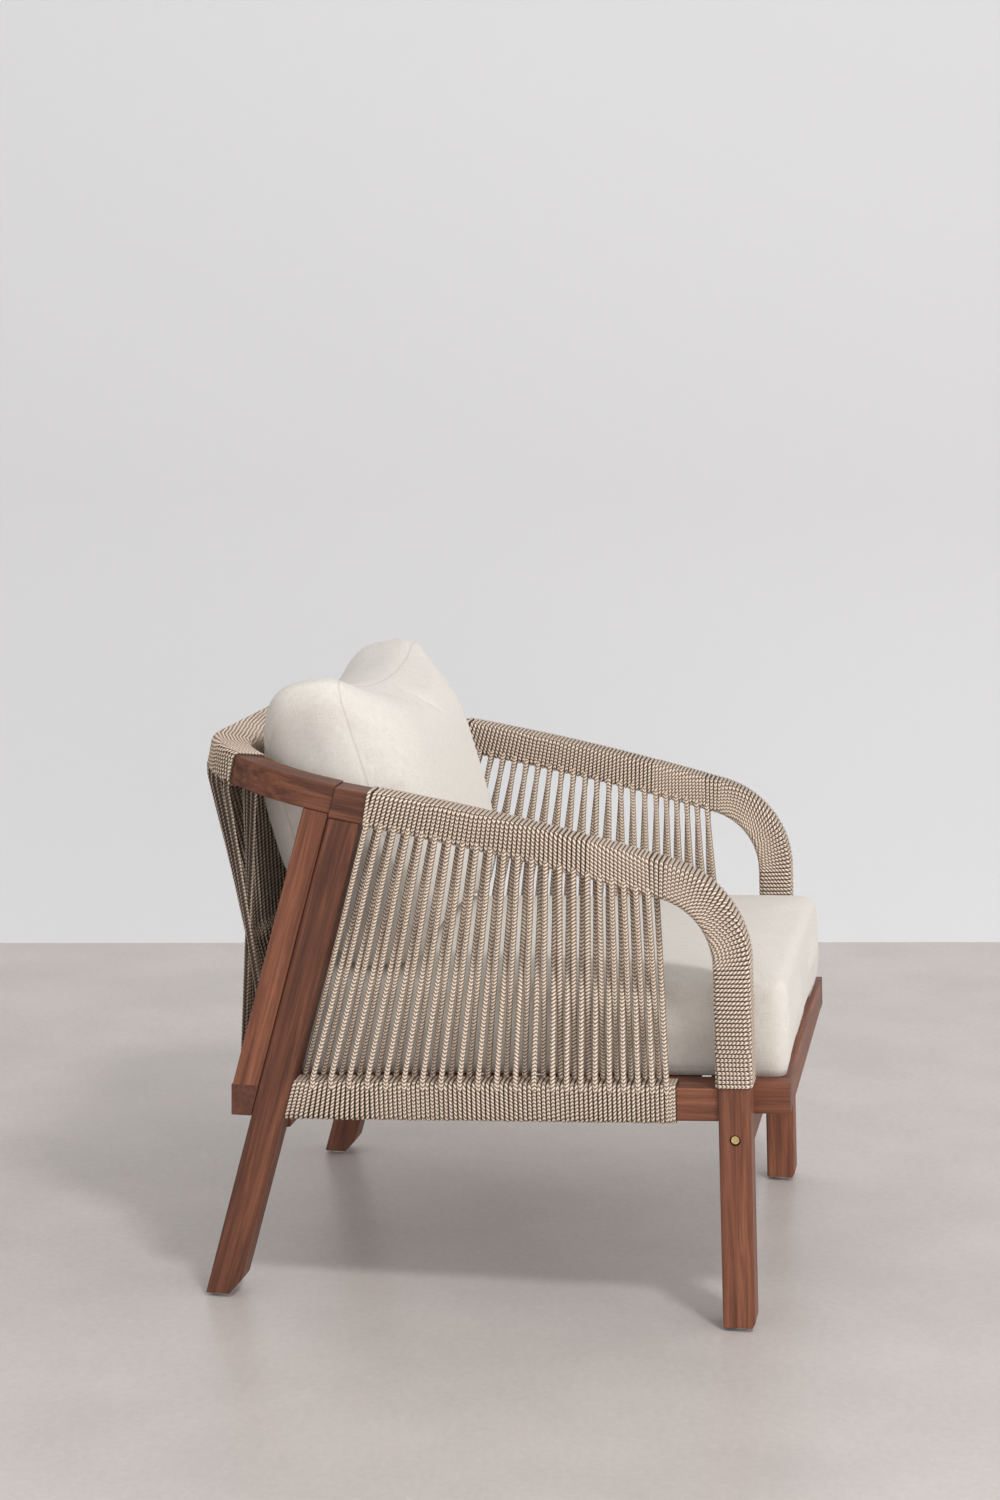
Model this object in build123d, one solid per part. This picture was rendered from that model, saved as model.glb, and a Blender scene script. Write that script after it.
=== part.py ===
# Lounge armchair: hardwood frame, rope wound round the arms and the back, two loose cushions.
# Millimetres. +Z is up, the chair faces -Y, and the origin is on the floor under its middle.
from build123d import *
from math import asin, cos, pi, radians, sin, tan
import os

# Overall
frame_width = 730
overall_depth = 775
back_overhang = 115
seat_height = 307.5
seat_tilt = 2.6
back_lean = 14.15
wood_round = 2.5

# Legs
leg_width = 50
leg_depth = 40
front_leg_setback = 65
heel_overhang = 73.5
toe_cut = 10
toe_rise = 17
front_toe_cut = 4
front_toe_rise = 7
glide_d = 26
glide_height = 5
glide_stem_d = 6
glide_stem_length = 16

# Arms
arm_thick = 40
arm_rebate = 2.5
post_shoulder = 4.5
post_top_height = 460
arm_bend_radius = 111.5
arm_slope = 14.2
arm_crown_radius = 3800
arm_bare_length = 129

# Rope
rope_d = 6
wrap_pitch = 5.8
wrap_groove = 1.8
skin_gap = 0.3

# Lower side rails
side_rail_height = 42
side_rail_width = 35
side_rail_drop = 18
side_rail_rebate = 1.5
side_wrap_front = 137
side_wrap_fan = 110

# Side strands: setbacks from the front edge of the seat, and the share of the steps that are wide
strand_count = 22
strand_top_gap = 2
strand_top_front = 175.6
strand_top_wide = 0.762
strand_top_part = 0.788
strand_foot_gap = 63
strand_foot_front = 148.5
strand_foot_wide = 0.619
strand_foot_part = 0.683
strand_top_lag = 0.28
strand_foot_lead = 0.75

# Seat frame and stretchers
seat_rail_height = 40
seat_rail_width = 30
seat_side_gap = 1
slat_count = 8
slat_width = 56
slat_thick = 16
slat_drop = 3
slat_end_gap = 0.5
ledger_size = 18
front_stretcher_height = 42
front_stretcher_depth = 34
rear_stretcher_height = 24
rear_stretcher_depth = 28
rear_stretcher_inset = 22

# Back frame
split_gap = 1
back_inset = 3
post_depth = 33
post_width = 45
back_rail_width = 46
back_rail_thick = 37
back_rail_slope = 11
back_rail_rebate = 2.5
back_rail_inset = 91
back_rail_height = 647
back_corner_radius = 172
back_wrap_turn = 47.6
low_rail_top = 279
low_rail_height = 39.5
low_rail_overhang = 40.5
low_rail_rebate = 2.5
low_core_overhang = 11.5
back_strand_count = 33
back_strand_margin = 9
back_strand_reach = 297

# Joints and fasteners
tenon_length = 22
tenon_shoulder = 8
dowel_d = 10
dowel_length = 50
dowel_spread = 20
fit_gap = 0.1
bolt_d = 6
bolt_head_d = 10
bolt_head_height = 6
bolt_sink_d = 14
bolt_sink_depth = 9
bolt_socket = 5
bolt_socket_depth = 3
stretcher_bolt_length = 80
barrel_nut_d = 14
barrel_nut_length = 24
back_bolt_length = 50
back_bolt_low = 330
back_bolt_high = 560
insert_d = 10
insert_length = 20
seat_screw_d = 6
seat_screw_head_d = 10
seat_screw_head_height = 4
seat_screw_bite = 24
seat_screw_shift = 10

# Cushions
seat_cushion_side_gap = 18
seat_cushion_rear_gap = 16
seat_cushion_edge = 120
seat_cushion_crown = 8
seat_cushion_roll = 12
seat_cushion_bulge = 4
seat_cushion_waist = 4
seat_cushion_corner = 22
back_cushion_side_gap = 25
back_cushion_height = 392
back_cushion_edge = 105
back_cushion_crown = 40
back_cushion_rear_crown = 25
back_cushion_roll = 4
back_cushion_rear_roll = 40
back_cushion_bulge = 13
back_cushion_rear_bulge = 4
back_cushion_waist = 26
back_cushion_corner = 46
back_cushion_lean = 17.5
back_cushion_inset = 128
back_cushion_sink = 4.25
cushion_gap = 0.6

# Values worked out from the sizes above
half_width = frame_width / 2
side_mid = half_width - leg_width / 2
leg_inner = half_width - leg_width
front_y = seat_rail_height * sin(radians(seat_tilt)) - overall_depth / 2
seat_depth = overall_depth - back_overhang
heel_setback = seat_depth + heel_overhang
arm_wrap_setback = seat_depth - arm_bare_length
wrap_proud = rope_d - arm_rebate
arm_core_width = leg_width - 2 * arm_rebate
arm_core_thick = arm_thick - 2 * arm_rebate
arm_wrap_width = arm_core_width + 2 * rope_d
arm_wrap_thick = arm_core_thick + 2 * rope_d
side_core_width = side_rail_width - 2 * side_rail_rebate
side_core_height = side_rail_height - 2 * side_rail_rebate
side_wrap_width = side_core_width + 2 * rope_d
side_wrap_height = side_core_height + 2 * rope_d
seat_half = leg_inner - seat_side_gap
back_outer = half_width - back_inset
rail_core_width = back_rail_width - 2 * back_rail_rebate
rail_core_thick = back_rail_thick - 2 * back_rail_rebate
rail_wrap_width = rail_core_width + 2 * rope_d
rail_wrap_thick = rail_core_thick + 2 * rope_d

# The seat lies in a plane that drops to the rear: x across, y rearwards from the front, z up
tilt_sin = sin(radians(seat_tilt))
tilt_cos = cos(radians(seat_tilt))
deck = Plane(origin=(0, front_y, seat_height), x_dir=(1, 0, 0), z_dir=(0, tilt_sin, tilt_cos))

# The rear legs lean along a second plane, which also parts the side frames from the back frame:
# x across, y up along the leg, z forwards
lean_sin = sin(radians(back_lean))
lean_cos = cos(radians(back_lean))
heel = Vector(0, front_y + heel_setback, glide_height)
lean = Plane(origin=heel, x_dir=(1, 0, 0), z_dir=(0, -lean_cos, -lean_sin))

# The top rail of the back lies in a plane that climbs to the rear: y rearwards, z up
climb_sin = sin(radians(back_rail_slope))
climb_cos = cos(radians(back_rail_slope))
climb_origin = Vector(0, front_y + seat_depth - back_rail_inset, back_rail_height)
climb = Plane(origin=climb_origin, x_dir=(1, 0, 0), z_dir=(0, -climb_sin, climb_cos))


def block(plane, x_span, y_span, z_span, rounding=0):
    # a box given by its spans on a plane, with its long edges rounded
    size = [span[1] - span[0] for span in (x_span, y_span, z_span)]
    middle = [(span[0] + span[1]) / 2 for span in (x_span, y_span, z_span)]
    solid = Box(*size)
    if rounding:
        along = (Axis.X, Axis.Y, Axis.Z)[size.index(max(size))]
        solid = fillet(solid.edges().filter_by(along), rounding)
    return plane * Pos(*middle) * solid


def peg(start, end, diameter):
    # a round rod from one point to another
    run = Vector(*end) - Vector(*start)
    place = Plane(origin=start, z_dir=run)
    return place * Cylinder(diameter / 2, run.length, align=(Align.CENTER, Align.CENTER, Align.MIN))


def mirrored(shape):
    return mirror(shape, about=Plane.YZ)


def height_under_deck(setback, drop):
    # floor height of a point given on the deck
    return deck.from_local_coords((0, setback, drop)).Z


# The arm's middle line in side view, as y, z and heading, measured from the leg's shoulder upwards
post_foot = deck.from_local_coords((0, front_leg_setback, post_shoulder))
post_length = (post_top_height - post_foot.Z) / tilt_cos
post_heading = radians(90 - seat_tilt)
bend_length = arm_bend_radius * (post_heading - radians(arm_slope))
post_top = (post_foot.Y + post_length * tilt_sin, post_top_height)
bend_centre = (post_top[0] + arm_bend_radius * tilt_cos, post_top[1] - arm_bend_radius * tilt_sin)
bend_end = (
    bend_centre[0] - arm_bend_radius * sin(radians(arm_slope)),
    bend_centre[1] + arm_bend_radius * cos(radians(arm_slope)),
)
crown_centre = (
    bend_end[0] + arm_crown_radius * sin(radians(arm_slope)),
    bend_end[1] - arm_crown_radius * cos(radians(arm_slope)),
)
block_heading = asin((crown_centre[0] - front_y - arm_wrap_setback) / arm_crown_radius)
crown_length = arm_crown_radius * (radians(arm_slope) - block_heading)
arm_wrap_length = post_length + bend_length + crown_length


def arm_path(run):
    if run <= post_length:
        return post_foot.Y + run * tilt_sin, post_foot.Z + run * tilt_cos, post_heading
    run -= post_length
    if run <= bend_length:
        heading = post_heading - run / arm_bend_radius
        centre, radius = bend_centre, arm_bend_radius
    else:
        heading = radians(arm_slope) - (run - bend_length) / arm_crown_radius
        centre, radius = crown_centre, arm_crown_radius
    return centre[0] - radius * sin(heading), centre[1] + radius * cos(heading), heading


def arm_offset(run, out):
    y, z, heading = arm_path(run)
    return y - out * sin(heading), z + out * cos(heading)


def arm_band(start, end, thick, width):
    # the stretch of the arm between two runs along its middle line, as a bent bar
    half = thick / 2
    middle = (start + end) / 2
    edges = [
        ThreePointArc(*[arm_offset(run, half) for run in (start, middle, end)]),
        Line(arm_offset(end, half), arm_offset(end, -half)),
        ThreePointArc(*[arm_offset(run, -half) for run in (end, middle, start)]),
        Line(arm_offset(start, -half), arm_offset(start, half)),
    ]
    return Plane.YZ.offset(-side_mid - width / 2) * extrude(make_face(edges), width)


def post_bar(thick, width, foot=0.0):
    # the straight upper part of the front leg, inside the rope
    along = (post_shoulder + foot, post_shoulder + post_length)
    across = (front_leg_setback - thick / 2, front_leg_setback + thick / 2)
    return block(deck, (-side_mid - width / 2, -side_mid + width / 2), across, along)


# Where the arm's bare rear block starts, as a plane: x across, y up, z along the arm
block_y, block_z, block_turn = arm_path(arm_wrap_length)
arm_end = Plane(
    origin=(0, block_y, block_z), x_dir=(-1, 0, 0), z_dir=(0, cos(block_turn), sin(block_turn))
)


def arm_dowels():
    # pairs of dowels in the arm: leg to bend, bend to rail, and rail to rear leg
    rods = []
    for shift in (-dowel_spread / 2, dowel_spread / 2):
        for run in (post_length, post_length + bend_length):
            y, z, heading = arm_path(run)
            reach = (dowel_length / 2 * cos(heading), dowel_length / 2 * sin(heading))
            x = -side_mid + shift
            rods.append(((x, y - reach[0], z - reach[1]), (x, y + reach[0], z + reach[1])))
        top = lean.from_local_coords((-side_mid + shift, leg_top_run + dowel_length / 2, leg_depth / 2))
        foot = lean.from_local_coords((-side_mid + shift, leg_top_run - dowel_length / 2, leg_depth / 2))
        rods.append((tuple(foot), tuple(top)))
    return rods


def plane_run(plane_point, plane_normal, depth):
    # how far up the lean plane, at a depth in front of it, a plane is met
    base = lean.from_local_coords((0, 0, depth))
    up = lean.y_dir
    return (Vector(*plane_point) - base).dot(Vector(*plane_normal)) / up.dot(Vector(*plane_normal))


block_under = arm_end.from_local_coords((0, -arm_thick / 2, 0))
leg_top_run = plane_run(block_under, arm_end.y_dir, leg_depth / 2)
low_rail_run = plane_run((0, 0, low_rail_top), (0, 0, 1), -split_gap - post_depth / 2)
rail_under = climb.from_local_coords((0, 0, -back_rail_thick / 2))
post_top_run = plane_run(rail_under, climb.z_dir, -split_gap - post_depth / 2)


def back_dowels():
    # pairs of dowels at both ends of the left back post, and across the left joint of the top rail
    rods = []
    middle = -back_outer + post_width / 2
    for shift in (-dowel_spread / 2, dowel_spread / 2):
        for run in (low_rail_run, post_top_run):
            depth = -split_gap - post_depth / 2
            ends = [(middle + shift, run + side * dowel_length / 2, depth) for side in (-1, 1)]
            rods.append(tuple(tuple(lean.from_local_coords(end)) for end in ends))
        across = rail_middle + shift / 2
        ends = [(-corner_middle + side * dowel_length / 2, across, 0) for side in (-1, 1)]
        rods.append(tuple(tuple(climb.from_local_coords(end)) for end in ends))
    return rods


# The top rail in its own plane: rear edge, middle line and corner centre
wrap_overhang = rail_wrap_thick / 2 * climb_sin
rail_rear = (overall_depth / 2 - wrap_overhang - climb_origin.Y) / climb_cos - wrap_proud
rail_middle = rail_rear - back_rail_width / 2
corner_middle = back_outer - back_corner_radius
corner_run = back_corner_radius - back_rail_width / 2
corner_y = rail_rear - back_corner_radius


def drilled(piece, rods, diameter=dowel_d):
    # holes for rods, a little wide and a little deep
    for start, end in rods:
        line = Vector(*end) - Vector(*start)
        spare = line.normalized() * fit_gap
        hole_start = Vector(*start) - spare
        hole_end = Vector(*end) + spare
        piece -= peg(tuple(hole_start), tuple(hole_end), diameter + 2 * fit_gap)
    return piece


front_foot_drop = (glide_height - deck.from_local_coords((0, front_leg_setback, 0)).Z) / tilt_cos
front_foot = deck.from_local_coords((-side_mid, front_leg_setback, front_foot_drop))
rear_sole = leg_depth / lean_cos - toe_cut
rear_foot = Vector(-side_mid, heel.Y - rear_sole / 2, glide_height)


def foot_glide(foot):
    # a plastic disc with a stem that is pressed into the foot
    disc = Pos(foot.X, foot.Y, 0) * Cylinder(
        glide_d / 2, glide_height, align=(Align.CENTER, Align.CENTER, Align.MIN)
    )
    disc = chamfer(disc.edges().group_by(Axis.Z)[0], glide_height / 5)
    top = (foot.X, foot.Y, glide_height + glide_stem_length)
    return disc + peg((foot.X, foot.Y, glide_height / 2), top, glide_stem_d)


def stem_hole(foot):
    top = (foot.X, foot.Y, glide_height + glide_stem_length + fit_gap)
    return peg((foot.X, foot.Y, 0), top, glide_stem_d + 2 * fit_gap)


# Fasteners, each given by the plane of its head seat with z pointing along its shank
bolt_drop = -seat_rail_height - front_stretcher_height / 2
stretcher_bolt_seat = Plane(
    origin=deck.from_local_coords((-half_width + bolt_sink_depth, front_leg_setback, bolt_drop)),
    z_dir=(1, 0, 0),
)
back_bolt_depth = -split_gap - post_depth + bolt_sink_depth
back_bolt_seats = [
    Plane(origin=lean.from_local_coords((-side_mid, run, back_bolt_depth)), z_dir=lean.z_dir)
    for run in (back_bolt_low, back_bolt_high)
]


def socket_bolt(seat, length):
    head = Pos(0, 0, -bolt_head_height / 2) * Cylinder(bolt_head_d / 2, bolt_head_height)
    socket = Pos(0, 0, -bolt_head_height) * extrude(
        RegularPolygon(bolt_socket / 2, 6, major_radius=False), bolt_socket_depth
    )
    shank = Pos(0, 0, length / 2) * Cylinder(bolt_d / 2, length)
    return seat * (head - socket + shank)


def bolt_hole(seat, length):
    sink = Pos(0, 0, -2 * bolt_sink_depth) * Cylinder(
        bolt_sink_d / 2, 2 * bolt_sink_depth, align=(Align.CENTER, Align.CENTER, Align.MIN)
    )
    way = Cylinder(bolt_d / 2 + fit_gap, length + fit_gap, align=(Align.CENTER, Align.CENTER, Align.MIN))
    return seat * (sink + way)


def barrel_nut():
    centre = deck.from_local_coords((-leg_inner + stretcher_nut_reach, front_leg_setback, bolt_drop))
    nut = Plane(origin=centre, z_dir=deck.y_dir) * Cylinder(barrel_nut_d / 2, barrel_nut_length)
    return nut - stretcher_bolt_seat * Cylinder(
        bolt_d / 2 + fit_gap, stretcher_bolt_length, align=(Align.CENTER, Align.CENTER, Align.MIN)
    )


stretcher_nut_reach = stretcher_bolt_length - (leg_width - bolt_sink_depth) - barrel_nut_d / 2


def barrel_nut_hole():
    centre = deck.from_local_coords((-leg_inner + stretcher_nut_reach, front_leg_setback, bolt_drop))
    rear = Vector(*centre) - deck.y_dir * (barrel_nut_length / 2)
    front = Vector(*centre) + deck.y_dir * front_stretcher_depth
    return peg(tuple(rear), tuple(front), barrel_nut_d + 2 * fit_gap)


def threaded_insert(seat):
    depth = back_bolt_length - insert_length
    sleeve = Cylinder(insert_d / 2, insert_length, align=(Align.CENTER, Align.CENTER, Align.MIN))
    way = Cylinder(bolt_d / 2 + fit_gap, insert_length, align=(Align.CENTER, Align.CENTER, Align.MIN))
    return seat * Pos(0, 0, depth) * (sleeve - way)


def insert_hole(seat):
    start = back_bolt_length - insert_length - fit_gap
    return seat * Pos(0, 0, start) * Cylinder(
        insert_d / 2 + fit_gap, insert_length + 2 * fit_gap, align=(Align.CENTER, Align.CENTER, Align.MIN)
    )


def seat_screw(spot, height, spare=0.0):
    # runs up through a stretcher of the given height into the seat frame
    foot = deck.from_local_coords((*spot, -seat_rail_height - height))
    up = (Align.CENTER, Align.CENTER, Align.MIN)
    head = Cylinder(seat_screw_head_d / 2 + spare, seat_screw_head_height + spare, align=up)
    shank = Cylinder(seat_screw_d / 2 + spare, height + seat_screw_bite + spare, align=up)
    return Plane(origin=foot, z_dir=deck.z_dir) * (head + shank)


front_screw = (seat_rail_width / 2 - seat_half, front_leg_setback + seat_screw_shift)
rear_screw = (2 * seat_rail_width - seat_half + tenon_length, seat_depth - seat_rail_width / 2)


# Wooden pieces of the left side, later mirrored for the right
def side_rail_tenon(front):
    # the tenon at one end of the lower side rail
    half = side_core_height / 2 - tenon_shoulder / 2
    if front:
        span = (front_leg_setback + leg_depth / 2 - tenon_length, front_leg_setback + leg_depth / 2 + 1)
    else:
        span = (side_rail_end - 1, side_rail_end + tenon_length)
    return block(
        deck,
        (-side_mid - side_core_width / 2 + tenon_shoulder, -side_mid + side_core_width / 2 - tenon_shoulder),
        span,
        (-side_rail_drop - half, -side_rail_drop + half),
    )


rail_axis = deck.from_local_coords((0, 0, -side_rail_drop))
side_rail_end = (
    (lean.from_local_coords((0, 0, leg_depth)) - rail_axis).dot(lean.z_dir) / deck.y_dir.dot(lean.z_dir)
)


def front_leg():
    across = (front_leg_setback - leg_depth / 2, front_leg_setback + leg_depth / 2)
    leg = block(deck, (-half_width, -leg_inner), across, (2 * front_foot_drop, post_shoulder), wood_round)
    leg = split(leg, Plane(origin=(0, 0, glide_height)), keep=Keep.TOP)
    toe = Vector(0, front_foot.Y - leg_depth / tilt_cos / 2 + front_toe_cut, glide_height)
    bevel = Plane(toe, x_dir=(1, 0, 0), z_dir=(0, front_toe_rise, front_toe_cut))
    leg = split(leg, bevel, keep=Keep.TOP)
    leg += post_bar(arm_core_thick, arm_core_width)
    leg = drilled(leg, arm_dowels())
    leg -= bolt_hole(stretcher_bolt_seat, stretcher_bolt_length)
    leg -= front_stretcher_tenons(fit_gap)
    leg -= side_rail_tenon(True)
    return leg - stem_hole(front_foot)


def rear_leg():
    along = (-leg_depth, leg_top_run + leg_depth)
    leg = block(lean, (-half_width, -leg_inner), along, (0, leg_depth), wood_round)
    leg = split(leg, Plane(origin=(0, 0, glide_height)), keep=Keep.TOP)
    toe = Vector(0, heel.Y - rear_sole, glide_height)
    run_in = toe_cut + toe_rise * lean_sin / lean_cos
    leg = split(leg, Plane(toe, x_dir=(1, 0, 0), z_dir=(0, toe_rise, run_in)), keep=Keep.TOP)
    under = Plane(origin=block_under, x_dir=(1, 0, 0), z_dir=arm_end.y_dir)
    leg = split(leg, under, keep=Keep.BOTTOM)
    leg = drilled(leg, arm_dowels())
    leg -= side_rail_tenon(False)
    leg -= rear_stretcher_tenon(fit_gap)
    for seat in back_bolt_seats:
        leg -= bolt_hole(seat, back_bolt_length)
        leg -= insert_hole(seat)
    return leg - stem_hole(rear_foot)


def arm_bend():
    bar = arm_band(post_length, post_length + bend_length, arm_core_thick, arm_core_width)
    return drilled(bar, arm_dowels())


def arm_rail():
    bar = arm_band(post_length + bend_length, arm_wrap_length, arm_core_thick, arm_core_width)
    reach = 2 * leg_depth
    half = arm_thick / 2
    rear = block(arm_end, (leg_inner, half_width), (-half, half), (0, reach))
    rear = fillet(rear.edges().filter_by(lambda edge: edge.length > reach - 1), wood_round)
    rear = split(rear, Plane(lean.origin, x_dir=(1, 0, 0), z_dir=lean.z_dir), keep=Keep.TOP)
    return drilled(bar + rear, arm_dowels())


def lower_side_rail():
    front = front_leg_setback + leg_depth / 2
    half = side_rail_height / 2
    drop = (-side_rail_drop - half, -side_rail_drop + half)
    bare = block(
        deck,
        (-side_mid - side_rail_width / 2, -side_mid + side_rail_width / 2),
        (front, side_wrap_front),
        drop,
    )
    length = side_wrap_front - front
    bare = fillet(bare.edges().filter_by(lambda edge: abs(edge.length - length) < 0.01), wood_round)
    core = block(
        deck,
        (-side_mid - side_core_width / 2, -side_mid + side_core_width / 2),
        (side_wrap_front, side_rail_end + leg_depth),
        (drop[0] + side_rail_rebate, drop[1] - side_rail_rebate),
    )
    face = Plane(lean.from_local_coords((0, 0, leg_depth)), x_dir=(1, 0, 0), z_dir=lean.z_dir)
    core = split(core, face, keep=Keep.TOP)
    return bare + core + side_rail_tenon(True) + side_rail_tenon(False)


# Back frame, left half where it is mirrored
def back_post():
    depth = (-split_gap - post_depth, -split_gap)
    along = (0, post_top_run + post_depth)
    post = block(lean, (-back_outer, post_width - back_outer), along, depth, wood_round)
    post = split(post, Plane(origin=(0, 0, low_rail_top)), keep=Keep.TOP)
    post = split(post, Plane(rail_under, x_dir=(1, 0, 0), z_dir=climb.z_dir), keep=Keep.BOTTOM)
    for seat in back_bolt_seats:
        post -= bolt_hole(seat, back_bolt_length)
    return drilled(post, back_dowels())


def corner_sector(width, thick, start, end):
    # a stretch of the left corner of the top rail, by the angle turned from the middle stretch
    inner, outer = corner_run - width / 2, corner_run + width / 2

    def spot(radius, angle):
        turn = radians(angle)
        return -corner_middle - radius * sin(turn), corner_y + radius * cos(turn)

    half = (start + end) / 2
    edges = [
        ThreePointArc(spot(outer, start), spot(outer, half), spot(outer, end)),
        Line(spot(outer, end), spot(inner, end)),
        ThreePointArc(spot(inner, end), spot(inner, half), spot(inner, start)),
        Line(spot(inner, start), spot(outer, start)),
    ]
    return climb * Pos(0, 0, -thick / 2) * extrude(make_face(edges), thick)


def back_rail_corner():
    core = corner_sector(rail_core_width, rail_core_thick, 0, back_wrap_turn)
    bend = corner_sector(back_rail_width, back_rail_thick, back_wrap_turn, 90)
    half = back_rail_thick / 2
    front = block(
        climb, (-back_outer, back_rail_width - back_outer), (-2 * back_rail_width, corner_y), (-half, half)
    )
    bare = bend + front
    behind = Plane(lean.from_local_coords((0, 0, -split_gap)), x_dir=(1, 0, 0), z_dir=lean.z_dir)
    bare = split(bare, behind, keep=Keep.BOTTOM)
    rims = bare.faces().filter_by(Plane(climb.origin, x_dir=climb.x_dir, z_dir=climb.z_dir)).edges()
    long_rims = rims.filter_by(lambda edge: edge.length > back_rail_width + wood_round)
    bare = fillet(long_rims, wood_round)
    return drilled(bare + core, back_dowels())


def back_top_rail():
    half = rail_core_thick / 2
    across = (rail_middle - rail_core_width / 2, rail_middle + rail_core_width / 2)
    rail = block(climb, (-corner_middle, corner_middle), across, (-half, half))
    rail = drilled(rail, back_dowels())
    return drilled(rail, [tuple((-x, y, z) for x, y, z in rod) for rod in back_dowels()])


low_rail_rear = front_y + seat_depth + low_rail_overhang
low_rail_foot = low_rail_top - low_rail_height
low_front_top = heel.Y + split_gap / lean_cos - (low_rail_top - heel.Z) * tan(radians(back_lean))
low_front_foot = low_front_top + low_rail_height * tan(radians(back_lean))
low_core_span = (front_y + seat_depth + low_core_overhang, low_rail_rear - low_rail_rebate)
low_core_heights = (low_rail_foot + low_rail_rebate, low_rail_top - low_rail_rebate)
low_wrap_half = leg_inner - 2 * seat_side_gap


def back_lower_rail():
    outline = Polyline(
        (low_front_foot, low_rail_foot),
        (low_rail_rear, low_rail_foot),
        (low_rail_rear, low_rail_top),
        (low_front_top, low_rail_top),
        close=True,
    )
    end_length = back_outer - low_wrap_half
    end = Plane.YZ.offset(-back_outer) * extrude(make_face(outline), end_length)
    core = block(Plane.XY, (-low_wrap_half, low_wrap_half), low_core_span, low_core_heights)
    rail = end + core + mirrored(end)
    rail = drilled(rail, back_dowels())
    return drilled(rail, [tuple((-x, y, z) for x, y, z in rod) for rod in back_dowels()])


# Seat frame on the deck
rail_inside = seat_half - seat_rail_width
slat_span = seat_depth - 2 * seat_rail_width
slat_gap = (slat_span - slat_count * slat_width) / (slat_count + 1)


def seat_side_rail():
    rail = block(deck, (-seat_half, -rail_inside), (0, seat_depth), (-seat_rail_height, 0), wood_round)
    for setback in (seat_rail_width / 2, seat_depth - seat_rail_width / 2):
        rail -= seat_rail_tenon(setback, fit_gap)
    return rail - seat_screw(front_screw, front_stretcher_height, fit_gap)


def seat_rail_tenon(setback, spare):
    half = seat_rail_width / 2 - tenon_shoulder + spare
    return block(
        deck,
        (-rail_inside - tenon_length - spare, 1 - rail_inside),
        (setback - half, setback + half),
        (tenon_shoulder - seat_rail_height - spare, spare - tenon_shoulder),
    )


def seat_cross_rail(setback):
    across = (setback - seat_rail_width / 2, setback + seat_rail_width / 2)
    rail = block(deck, (-rail_inside, rail_inside), across, (-seat_rail_height, 0), wood_round)
    tenon = seat_rail_tenon(setback, 0)
    return rail + tenon + mirrored(tenon)


def seat_rear_rail():
    hole = seat_screw(rear_screw, rear_stretcher_height, fit_gap)
    return seat_cross_rail(seat_depth - seat_rail_width / 2) - hole - mirrored(hole)


def seat_ledger():
    top = -slat_drop - slat_thick
    return block(
        deck,
        (-rail_inside, ledger_size - rail_inside),
        (seat_rail_width, seat_depth - seat_rail_width),
        (top - ledger_size, top),
    )


def seat_slat(index):
    start = seat_rail_width + slat_gap + index * (slat_width + slat_gap)
    half = rail_inside - slat_end_gap
    top = -slat_drop
    return block(deck, (-half, half), (start, start + slat_width), (top - slat_thick, top), wood_round)


front_stretcher_span = (
    front_leg_setback - front_stretcher_depth / 2,
    front_leg_setback + front_stretcher_depth / 2,
)
rear_stretcher_front = seat_depth - rear_stretcher_inset
rear_stretcher_span = (rear_stretcher_front, rear_stretcher_front + rear_stretcher_depth)


def stretcher_tenon(span, low, high, spare):
    return block(
        deck,
        (-leg_inner - tenon_length - spare, 1 - leg_inner),
        (span[0] + tenon_shoulder - spare, span[1] - tenon_shoulder + spare),
        (low - spare, high + spare),
    )


def front_stretcher_tenons(spare):
    # a pair of short tenons above and below the bolt's way
    top = -seat_rail_height - tenon_shoulder / 2
    foot = -seat_rail_height - front_stretcher_height + tenon_shoulder / 2
    tongue = front_stretcher_height / 5
    upper = stretcher_tenon(front_stretcher_span, top - tongue, top, spare)
    return upper + stretcher_tenon(front_stretcher_span, foot, foot + tongue, spare)


def rear_stretcher_tenon(spare):
    top = -seat_rail_height - tenon_shoulder / 2
    foot = -seat_rail_height - rear_stretcher_height + tenon_shoulder / 2
    return stretcher_tenon(rear_stretcher_span, foot, top, spare)


def stretcher(span, height, tenon, screw):
    rail = block(deck, (-leg_inner, leg_inner), span, (-seat_rail_height - height, -seat_rail_height), wood_round)
    rail = rail + tenon + mirrored(tenon)
    hole = seat_screw(screw, height, fit_gap)
    return rail - hole - mirrored(hole)


def front_stretcher():
    rail = stretcher(front_stretcher_span, front_stretcher_height, front_stretcher_tenons(0), front_screw)
    hole = bolt_hole(stretcher_bolt_seat, stretcher_bolt_length) + barrel_nut_hole()
    return rail - hole - mirrored(hole)


def rear_stretcher():
    return stretcher(rear_stretcher_span, rear_stretcher_height, rear_stretcher_tenon(0), rear_screw)


# Rope
def wound_sleeve(place, start, end, width, thick):
    # turns of rope side by side, as a sleeve with a crest for each turn and a groove between turns
    turns = round((end - start) / wrap_pitch)
    step = (end - start) / turns / 2
    sections = []
    for index in range(2 * turns + 1):
        section, tall = place(start + index * step)
        cut = 0 if index % 2 else 2 * wrap_groove
        sections.append(section * Rectangle(width - cut, tall * thick - cut))
    return loft(sections, ruled=True, clean=False)


def arm_section(run):
    y, z, heading = arm_path(run)
    return Plane(origin=(-side_mid, y, z), x_dir=(1, 0, 0), z_dir=(0, cos(heading), sin(heading))), 1


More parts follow.
